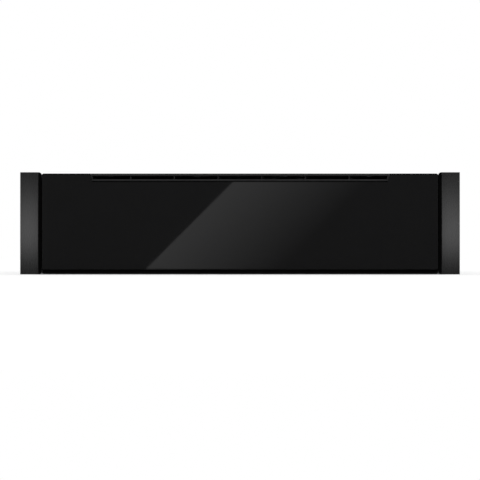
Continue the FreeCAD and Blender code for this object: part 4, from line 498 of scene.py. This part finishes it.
def cable_gland():
    """Two nuts and a dome round one bore, ring after ring from the inside of the housing outwards."""
    low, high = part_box("cable_gland")
    middle = (low + high) / 2
    inner_nut = low.y + GLAND_NUT_LENGTH
    outer_nut = inner_nut + SHEET
    dome = outer_nut + GLAND_NUT_LENGTH
    rings = [
        (low.y, round_edge(GLAND_BORE)), (low.y, hexagon_edge(GLAND_NUT)),
        (inner_nut, hexagon_edge(GLAND_NUT)), (inner_nut, round_edge(GLAND_THREAD)),
        (outer_nut, round_edge(GLAND_THREAD)), (outer_nut, hexagon_edge(GLAND_NUT)),
        (dome, hexagon_edge(GLAND_NUT)), (dome, fluted_edge(GLAND_DOME)),
        (high.y - GLAND_CONE, fluted_edge(GLAND_DOME)), (high.y, round_edge(GLAND_LIP)),
        (high.y, round_edge(GLAND_BORE))]
    shape = bmesh.new()
    loops = []
    for y, edge in rings:
        loop = []
        for i in range(GLAND_STEPS):
            angle = i * math.tau / GLAND_STEPS
            x = middle.x + edge(angle) * math.cos(angle)
            z = middle.z + edge(angle) * math.sin(angle)
            loop.append(shape.verts.new((x, y, z)))
        loops.append(loop)
    for near, far in zip(loops, loops[1:] + loops[:1]):
        wall(shape, near, far)
    bmesh.ops.recalc_face_normals(shape, faces=shape.faces)
    return mesh_of(shape, "gland_nuts")


gland_nuts = new_piece("gland_nuts", cable_gland(), grained_black)
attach(gland_nuts, "housing")
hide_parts("cable_gland")


# The push latch is a moulded black barrel, set in the bulkhead by its collar.
# Its grey plastic plunger stands just behind the drawer's back and is pushed in with the drawer.

give(grained_black, "push_latch")
give(grey_plastic, "latch_plunger")


# The steam lid floats above the tub: a folded stainless plate with a silicone seal under its edge.
# Four shoulder bolts hang it from the rails and two leaf springs press it down.

def grey_silicone():
    finish, tree = new_finish("grey_silicone", specular=0.3)
    patches = mottle(tree, cell=0.012)
    coat(tree, patches, patches, dark=(0.17, 0.17, 0.178), light=(0.23, 0.23, 0.24), smooth=0.55, rough=0.7)
    return finish


def rolled_spring_steel():
    finish, tree = new_finish("rolled_spring_steel", metallic=1.0)
    lines = mottle(tree, cell=0.0006, stretch=(40, 1, 1))
    coat(tree, lines, lines, dark=(0.27, 0.285, 0.31), light=(0.4, 0.41, 0.43), smooth=0.25, rough=0.4)
    return finish


SPRING_SHEET = 0.0006
SPRING_FLAT_SHARE = 0.28
SPRING_STEPS = 48


def leaf_springs():
    """Bowed strips that fill the plain springs' boxes, their feet on the lid and their backs on the rail."""
    shape = bmesh.new()
    for points in separate_solids("lid_springs"):
        low, high = reach_of(points)
        half = (high.x - low.x) / 2
        rise = high.z - low.z - SPRING_SHEET
        rows = []
        for i in range(SPRING_STEPS + 1):
            x = -half + 2 * half * i / SPRING_STEPS
            share = max(0.0, (abs(x) / half - SPRING_FLAT_SHARE) / (1 - SPRING_FLAT_SHARE))
            z = low.z + rise * (1 - share * share * (3 - 2 * share))
            at = low.x + half + x
            rows.append([shape.verts.new((at, y, z + up)) for y, up in (
                (low.y, 0), (high.y, 0), (high.y, SPRING_SHEET), (low.y, SPRING_SHEET))])
        for near, far in zip(rows, rows[1:]):
            wall(shape, near, far)
        shape.faces.new(rows[0])
        shape.faces.new(rows[-1])
    bmesh.ops.recalc_face_normals(shape, faces=shape.faces)
    return mesh_of(shape, "lid_leaf_springs")


silicone = grey_silicone()
give(brushed_across, "steam_lid")
give(silicone, "lid_seal")
give(zinc_plated, "lid_bolts")
lid_leaf_springs = new_piece("lid_leaf_springs", leaf_springs(), rolled_spring_steel())
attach(lid_leaf_springs, "housing")
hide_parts("lid_springs")
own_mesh(lid_leaf_springs)


# The controls sit on a black fascia behind the front panel: a turned steel knob, two buttons and a dark
# window over the display. The fascia is moulded plastic, screwed between the side walls; the strokes
# round the knob and the signs on the buttons are printed.

def display_window():
    finish, tree = new_finish("display_window")
    smears = mottle(tree, cell=0.01)
    coat(tree, smears, smears, dark=(0.004, 0.004, 0.005), light=(0.008, 0.008, 0.01),
         smooth=0.03, rough=0.08)
    return finish


def printed_white():
    finish, tree = new_finish("printed_white", specular=0.3)
    patches = mottle(tree, cell=0.0006)
    coat(tree, patches, patches, dark=(0.55, 0.55, 0.55), light=(0.7, 0.7, 0.7), smooth=0.5, rough=0.62)
    return finish


def rounded_outline(half_width, half_height, radius, steps=6):
    """Corner points of a rounded rectangle, anticlockwise."""
    points = []
    for quarter, (sx, sz) in enumerate(((1, 1), (-1, 1), (-1, -1), (1, -1))):
        for i in range(steps + 1):
            angle = (quarter + i / steps) * math.pi / 2
            points.append((sx * (half_width - radius) + radius * math.cos(angle),
                           sz * (half_height - radius) + radius * math.sin(angle)))
    return points


def upright_plate(name, outline, front, back, bevel):
    """A plate that faces the front, cut to an outline, with a small bevel round its front edge."""
    shape = bmesh.new()
    count = len(outline)
    inner = []
    for i, (x, z) in enumerate(outline):
        before, after = Vector(outline[i - 1]), Vector(outline[(i + 1) % count])
        along = (after - before).normalized()
        inner.append((x - along.y * bevel, z + along.x * bevel))
    rings = []
    for ring, y in ((inner, front), (outline, front + bevel), (outline, back)):
        rings.append([shape.verts.new((x, y, z)) for x, z in ring])
    for near, far in zip(rings, rings[1:]):
        wall(shape, near, far)
    shape.faces.new(rings[0])
    shape.faces.new(rings[-1])
    bmesh.ops.recalc_face_normals(shape, faces=shape.faces)
    return mesh_of(shape, name)


WINDOW_HALF_WIDTH = 0.0346
WINDOW_HALF_HEIGHT = 0.0051
WINDOW_ROUND = 0.0008
WINDOW_RECESS = 0.0001
WINDOW_BACK = 0.00045
WINDOW_BEVEL = 0.0001
CONTROL_BOARD_FACE = 0.0244
fascia_low, fascia_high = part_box("control_fascia")
fascia_middle = (fascia_low.z + fascia_high.z) / 2
fascia_face = fascia_low.y
smooth_black = black_moulding("smooth_black_plastic", grain=0.000008, rough=0.38)
give(grained_black, "control_fascia")
give(smooth_black, "power_button", "start_button")
give(brushed_across, "timer_knob")
control_finish = circuit_board(
    "control_board_finish", "Y", CONTROL_BOARD_FACE, CONTROL_BOARD_FACE - BOARD_EDGE)
give(control_finish, "control_board")
window_outline = [
    (x, fascia_middle + z) for x, z in rounded_outline(WINDOW_HALF_WIDTH, WINDOW_HALF_HEIGHT, WINDOW_ROUND)]
window_mesh = upright_plate(
    "display_window", window_outline, fascia_face + WINDOW_RECESS, fascia_face + WINDOW_BACK, WINDOW_BEVEL)
window = new_piece("display_window", window_mesh, display_window())
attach(window, "housing")

MARK_PROUD = 0.00008
MARK_COUNT = 11
MARK_SWEEP = math.radians(300)
MARK_INNER = 0.0091
MARK_OUTER = 0.0101
MARK_WIDTH = 0.0005
SIGN_RADIUS = 0.0024
SIGN_STROKE = 0.0005
SIGN_GAP = math.radians(40)
SIGN_STEPS = 32


def printed_shapes(name, outlines, middle, face):
    """Shapes printed on a face that looks to the front, each an outline of (x, z) points about a middle."""
    shape = bmesh.new()
    for outline in outlines:
        outside, inside = [
            [shape.verts.new((middle.x + x, y, middle.z + z)) for x, z in outline]
            for y in (face - MARK_PROUD, face + MARK_PROUD)]
        shape.faces.new(outside)
        shape.faces.new(inside)
        wall(shape, outside, inside)
    bmesh.ops.recalc_face_normals(shape, faces=shape.faces)
    return mesh_of(shape, name)


def dial_stroke(angle):
    """The corners of one stroke, which points away from the knob's axis."""
    out = Vector((math.sin(angle), math.cos(angle)))
    across = Vector((math.cos(angle), -math.sin(angle))) * MARK_WIDTH / 2
    return [out * MARK_INNER - across, out * MARK_INNER + across,
            out * MARK_OUTER + across, out * MARK_OUTER - across]


def arc(radius, start, end):
    """Points on a circle between two angles, counted clockwise from the top."""
    angles = [start + (end - start) * i / SIGN_STEPS for i in range(SIGN_STEPS + 1)]
    return [(radius * math.sin(angle), radius * math.cos(angle)) for angle in angles]


def stand_by_sign():
    """A ring that is open at the top, with an upright stroke in the opening."""
    start, end = SIGN_GAP, math.tau - SIGN_GAP
    half = SIGN_STROKE / 2
    ring = arc(SIGN_RADIUS, start, end) + arc(SIGN_RADIUS - SIGN_STROKE, end, start)
    stroke = [(-half, 0), (half, 0), (half, SIGN_RADIUS), (-half, SIGN_RADIUS)]
    return [ring, stroke]


def start_sign():
    """A triangle that points to the right."""
    corners = [math.pi / 2 + i * math.tau / 3 for i in range(3)]
    return [[(SIGN_RADIUS * math.sin(angle), SIGN_RADIUS * math.cos(angle)) for angle in corners]]


def middle_of(node):
    """The middle of a node's box."""
    low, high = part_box(node)
    return (low + high) / 2


ink = printed_white()
strokes = [dial_stroke(MARK_SWEEP * (i / (MARK_COUNT - 1) - 0.5)) for i in range(MARK_COUNT)]
for name, outlines, node, face, body in (
        ("dial_marks", strokes, "timer_knob", fascia_face, "housing"),
        ("power_sign", stand_by_sign(), "power_button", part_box("power_button")[0].y, "power_button"),
        ("start_sign", start_sign(), "start_button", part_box("start_button")[0].y, "start_button")):
    print_piece = new_piece(name, printed_shapes(name, outlines, middle_of(node), face), ink)
    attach(print_piece, body)


# The side trims are satin strips of dark anodised aluminium over a black carrier.
# The strip is extruded, its ends rounded over, and bonded to the carrier, which is screwed to the flange.

def satin_anodised():
    finish, tree = new_finish("satin_anodised", metallic=1.0)
    lines = mottle(tree, cell=0.0004, stretch=(1, 1, 200), detail=2.0)
    coat(tree, lines, lines, dark=(0.075, 0.075, 0.0755), light=(0.08, 0.08, 0.0805), smooth=0.25, rough=0.28)
    return finish


def dull_black():
    finish, tree = new_finish("dull_black_plastic", specular=0.06)
    coat(tree, mottle(tree, cell=0.02), mottle(tree, cell=0.002), dark=(0.001, 0.001, 0.001),
         light=(0.0018, 0.0018, 0.0018), smooth=0.5, rough=0.62)
    relief(tree, mottle(tree, cell=0.0004, detail=2.0), height=0.00001)
    return finish


matt_black = dull_black()
give(satin_anodised(), "trim_strip_left", "trim_strip_right")
give(matt_black, "trim_carrier_left", "trim_carrier_right")


# The drawer's frame is folded from stainless sheet: two sides on the runners, a back and a deck.
# The deck has openings for the tub and the tank; the front panel is screwed to the sides' folds.

give(brushed_deep, "drawer_side_left", "drawer_side_right")
give(brushed_across, "drawer_back", "drawer_deck")
drawer_screw_set = screw_set("drawer_cross_screws", "drawer_screws")
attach(drawer_screw_set, "drawer")
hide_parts("drawer_screws")


# The steam tub is deep drawn stainless steel and hangs by its rim in the deck; its port ends in a seal.
# The tray inside it is a folded frame of the same sheet with a punched floor, which stands on four feet.

def drawn_steel():
    finish, tree = new_finish("drawn_steel", metallic=1.0)
    lines = mottle(tree, cell=0.0005, stretch=(60, 60, 1))
    coat(tree, lines, lines, dark=(0.5, 0.495, 0.485), light=(0.56, 0.555, 0.545), smooth=0.2, rough=0.27)
    relief(tree, lines, height=0.000003)
    return finish


give(drawn_steel(), "steam_tub", "tray_frame", "tray_floor")
give(silicone, "port_seal")


# The water tank stands beside the tub. It is clear plastic with a grey lid; the filler cap turns a quarter
# and a sprung valve in the outlet opens when the tank meets its coupling.

def clear_moulding():
    finish, tree = new_finish("clear_moulding")
    patches = mottle(tree, cell=0.03)
    coat(tree, patches, patches, dark=(0.86, 0.92, 0.93), light=(0.92, 0.96, 0.97), smooth=0.04, rough=0.1)
    shader(tree).inputs["Transmission Weight"].default_value = 1.0
    shader(tree).inputs["IOR"].default_value = 1.49
    return finish


give(clear_moulding(), "water_tank")
give(grey_plastic, "tank_lid", "tank_cap", "tank_valve")


# The front panel is black glass bonded to a moulded pan, with a stainless liner behind it.
# A slotted vent of smooth black plastic is let into the glass's top edge.

def black_glass():
    finish, tree = new_finish("black_glass")
    smears = mottle(tree, cell=0.05)
    coat(tree, smears, smears, dark=(0.005, 0.005, 0.0052), light=(0.0056, 0.0056, 0.0058),
         smooth=0.012, rough=0.03)
    return finish


# The vent's black is painted lighter than the buttons' smooth black of the same plastic: painted light that
# stands in for the light its rounded edges and bars catch from above.
VENT_DARK_WITH_PAINTED_LIGHT = (0.0135, 0.0135, 0.014)
VENT_PALE_WITH_PAINTED_LIGHT = (0.018, 0.018, 0.0185)
vent_black_with_painted_light = black_moulding(
    "vent_black_plastic_painted_light", grain=0.000008, rough=0.38, dark=VENT_DARK_WITH_PAINTED_LIGHT, light=VENT_PALE_WITH_PAINTED_LIGHT)
give(black_glass(), "front_glass")
give(matt_black, "front_carrier")
give(brushed_across, "front_liner")
give(vent_black_with_painted_light, "vent_grille")


# The studio: a pale floor and a white surround, with two wide soft lamps above.
# Cards in front of the object show only in its polished faces: a dark one with a slanted fading edge
# for the glass, a dark one on the floor, and a soft upright patch for each trim.

WHITE = (1, 1, 1, 1)
SURROUND_LIGHT = 0.75


def background_share(tree):
    """One for rays that see the surround, straight on, in a reflection or through glass."""
    path = tree.nodes.new("ShaderNodeLightPath")
    most = path.outputs["Is Camera Ray"]
    for ray in ("Is Glossy Ray", "Is Transmission Ray"):
        larger = tree.nodes.new("ShaderNodeMath")
        larger.operation = "MAXIMUM"
        tree.links.new(most, larger.inputs[0])
        tree.links.new(path.outputs[ray], larger.inputs[1])
        most = larger.outputs[0]
    return most


def lit_or_seen(tree, lit, seen, output_kind):
    """One shader for the rays that light the object, another for those that see the surround."""
    either = tree.nodes.new("ShaderNodeMixShader")
    output = tree.nodes.new(output_kind)
    tree.links.new(background_share(tree), either.inputs["Fac"])
    tree.links.new(lit.outputs[0], either.inputs[1])
    tree.links.new(seen.outputs[0], either.inputs[2])
    tree.links.new(either.outputs[0], output.inputs["Surface"])


world = bpy.data.worlds.new("surround")
bpy.context.scene.world = world
world.use_nodes = True
tree = world.node_tree
tree.nodes.clear()
seen_surround = tree.nodes.new("ShaderNodeBackground")
seen_surround.inputs["Color"].default_value = WHITE
seen_surround.inputs["Strength"].default_value = 1.0
lighting = tree.nodes.new("ShaderNodeBackground")
lighting.inputs["Color"].default_value = WHITE
lighting.inputs["Strength"].default_value = SURROUND_LIGHT
lit_or_seen(tree, lighting, seen_surround, "ShaderNodeOutputWorld")


def flat_sheet(name, corners):
    """A flat sheet of the studio, which isn't part of the object."""
    shape = bmesh.new()
    shape.faces.new([shape.verts.new(corner) for corner in corners])
    sheet = bpy.data.objects.new(name, mesh_of(shape, name))
    bpy.context.scene.collection.objects.link(sheet)
    return sheet


FLOOR_RADIUS = 4.0
FLOOR_SIDES = 48
FLOOR_DROP = 0.0002
FLOOR_GLOW = 0.46
FLOOR_PALE = 0.55
FLOOR_LIT = 0.8
floor_angles = [i * math.tau / FLOOR_SIDES for i in range(FLOOR_SIDES)]
floor = flat_sheet("floor", [
    (FLOOR_RADIUS * math.cos(angle), FLOOR_RADIUS * math.sin(angle), 0) for angle in floor_angles])
floor.location.z = -FLOOR_DROP
pale = bpy.data.materials.new("pale_floor")
pale.use_nodes = True
tree = pale.node_tree
tree.nodes.clear()
matt = tree.nodes.new("ShaderNodeBsdfDiffuse")
matt.inputs["Color"].default_value = (FLOOR_LIT, FLOOR_LIT, FLOOR_LIT, 1)
seen_matt = tree.nodes.new("ShaderNodeBsdfDiffuse")
seen_matt.inputs["Color"].default_value = (FLOOR_PALE, FLOOR_PALE, FLOOR_PALE, 1)
glow = tree.nodes.new("ShaderNodeEmission")
glow.inputs["Strength"].default_value = FLOOR_GLOW
both = tree.nodes.new("ShaderNodeAddShader")
tree.links.new(seen_matt.outputs[0], both.inputs[0])
tree.links.new(glow.outputs[0], both.inputs[1])
lit_or_seen(tree, matt, both, "ShaderNodeOutputMaterial")
floor.data.materials.append(pale)


def soft_sun(name, way, spread, strength):
    """A wide, even light that comes from a direction."""
    lamp = bpy.data.lights.new(name, "SUN")
    lamp.angle = math.radians(spread)
    lamp.energy = strength
    holder = bpy.data.objects.new(name, lamp)
    bpy.context.scene.collection.objects.link(holder)
    holder.rotation_mode = "QUATERNION"
    holder.rotation_quaternion = (-Vector(way)).to_track_quat("-Z", "Y")


soft_sun("light_front", way=(0.0, -0.35, 0.95), spread=120, strength=0.6)
soft_sun("light_back", way=(0.25, 0.4, 0.9), spread=120, strength=0.35)


def reflection_card(name, corners, shown_in=None):
    """The brightness of a card that shows in polished faces alone, all of them or one collection's."""
    card = flat_sheet(name, corners)
    card.light_linking.receiver_collection = shown_in
    card.visible_camera = False
    card.visible_diffuse = False
    card.visible_transmission = False
    card.visible_shadow = False
    glow = bpy.data.materials.new(name)
    glow.use_nodes = True
    tree = glow.node_tree
    tree.nodes.clear()
    light = tree.nodes.new("ShaderNodeEmission")
    output = tree.nodes.new("ShaderNodeOutputMaterial")
    tree.links.new(light.outputs[0], output.inputs["Surface"])
    card.data.materials.append(glow)
    return light.inputs["Strength"]


def upright_corners(left, right, y, low, high):
    return [(left, y, low), (right, y, low), (right, y, high), (left, y, high)]


PANEL_CARD_Y = -1.0
PANEL_CARD_HALF = 1.2
PANEL_CARD_LOW = -0.4
PANEL_CARD_HIGH = 0.5
CARD_DARK = 0.1
CARD_BRIGHT = 0.67
FADE_EDGE = -0.151
FADE_WIDTH = 0.216
brightness = reflection_card("panel_card", upright_corners(
    -PANEL_CARD_HALF, PANEL_CARD_HALF, PANEL_CARD_Y, PANEL_CARD_LOW, PANEL_CARD_HIGH))
tree = brightness.id_data
place = place_apart(tree)
along = tree.nodes.new("ShaderNodeMath")
along.operation = "SUBTRACT"
tree.links.new(place["X"], along.inputs[0])
tree.links.new(place["Z"], along.inputs[1])
fade = span(tree, along.outputs[0], CARD_BRIGHT, CARD_DARK, FADE_EDGE, FADE_EDGE + FADE_WIDTH)
beyond = tree.nodes.new("ShaderNodeMath")
beyond.operation = "GREATER_THAN"
beyond.inputs[1].default_value = FADE_EDGE
tree.links.new(along.outputs[0], beyond.inputs[0])
choose = tree.nodes.new("ShaderNodeMix")
choose.inputs["A"].default_value = CARD_DARK
tree.links.new(beyond.outputs[0], choose.inputs["Factor"])
tree.links.new(fade, choose.inputs["B"])
tree.links.new(choose.outputs[0], brightness)

FLOOR_CARD_HALF = 0.9
FLOOR_CARD_LEVEL = 0.0004
FLOOR_CARD_DARK = 0.03
brightness = reflection_card("floor_card", [
    (-FLOOR_CARD_HALF, PANEL_CARD_Y, FLOOR_CARD_LEVEL),
    (FLOOR_CARD_HALF, PANEL_CARD_Y, FLOOR_CARD_LEVEL),
    (FLOOR_CARD_HALF, cad_low.y, FLOOR_CARD_LEVEL),
    (-FLOOR_CARD_HALF, cad_low.y, FLOOR_CARD_LEVEL)])
brightness.default_value = FLOOR_CARD_DARK

TRIM_CARD_Y = -0.2
TRIM_CARD_INNER = 0.279
TRIM_CARD_OUTER = 0.316
TRIM_CARD_TOP = 0.224
TRIM_CARD_MIDDLE = 0.0516
TRIM_CARD_FADE_UP = 0.0961
TRIM_CARD_FADE_DOWN = 0.0449
TRIM_CARD_BRIGHT = 1.76
TRIM_CARD_DARK = 0.2
trim_faces = bpy.data.collections.new("trim_faces")
for side, name, strip in (
        (-1, "trim_card_left", "trim_strip_left"),
        (1, "trim_card_right", "trim_strip_right")):
    trim_faces.objects.link(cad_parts[strip])
    left, right = sorted((side * TRIM_CARD_INNER, side * TRIM_CARD_OUTER))
    brightness = reflection_card(name, upright_corners(
        left, right, TRIM_CARD_Y, FLOOR_CARD_LEVEL, TRIM_CARD_TOP), shown_in=trim_faces)
    tree = brightness.id_data
    height = place_apart(tree)["Z"]
    least = tree.nodes.new("ShaderNodeMath")
    least.operation = "MINIMUM"
    for socket, reach in zip(least.inputs, (TRIM_CARD_FADE_UP, -TRIM_CARD_FADE_DOWN)):
        fade = span(tree, height, TRIM_CARD_BRIGHT, TRIM_CARD_DARK, TRIM_CARD_MIDDLE,
                    TRIM_CARD_MIDDLE + reach, course="SMOOTHSTEP")
        tree.links.new(fade, socket)
    tree.links.new(least.outputs[0], brightness)


# The camera looks straight at the front through a long lens, a little below the object's middle.
# It stands far off, so that the housing's sides and top don't show past the front.

VIEW_WIDTH = 0.6506
LENS = 300.0
SENSOR = 36.0
EYE_HEIGHT = 0.0468
FARTHEST_SEEN = 100
lens = bpy.data.cameras.new("front_camera")
lens.lens = LENS
lens.sensor_width = SENSOR
lens.clip_end = FARTHEST_SEEN
camera = bpy.data.objects.new("front_camera", lens)
bpy.context.scene.collection.objects.link(camera)
camera.location = (0, cad_low.y - VIEW_WIDTH * LENS / SENSOR, EYE_HEIGHT)
camera.rotation_euler = (math.pi / 2, 0, 0)
bpy.context.scene.camera = camera
bpy.context.scene.view_settings.view_transform = "Standard"
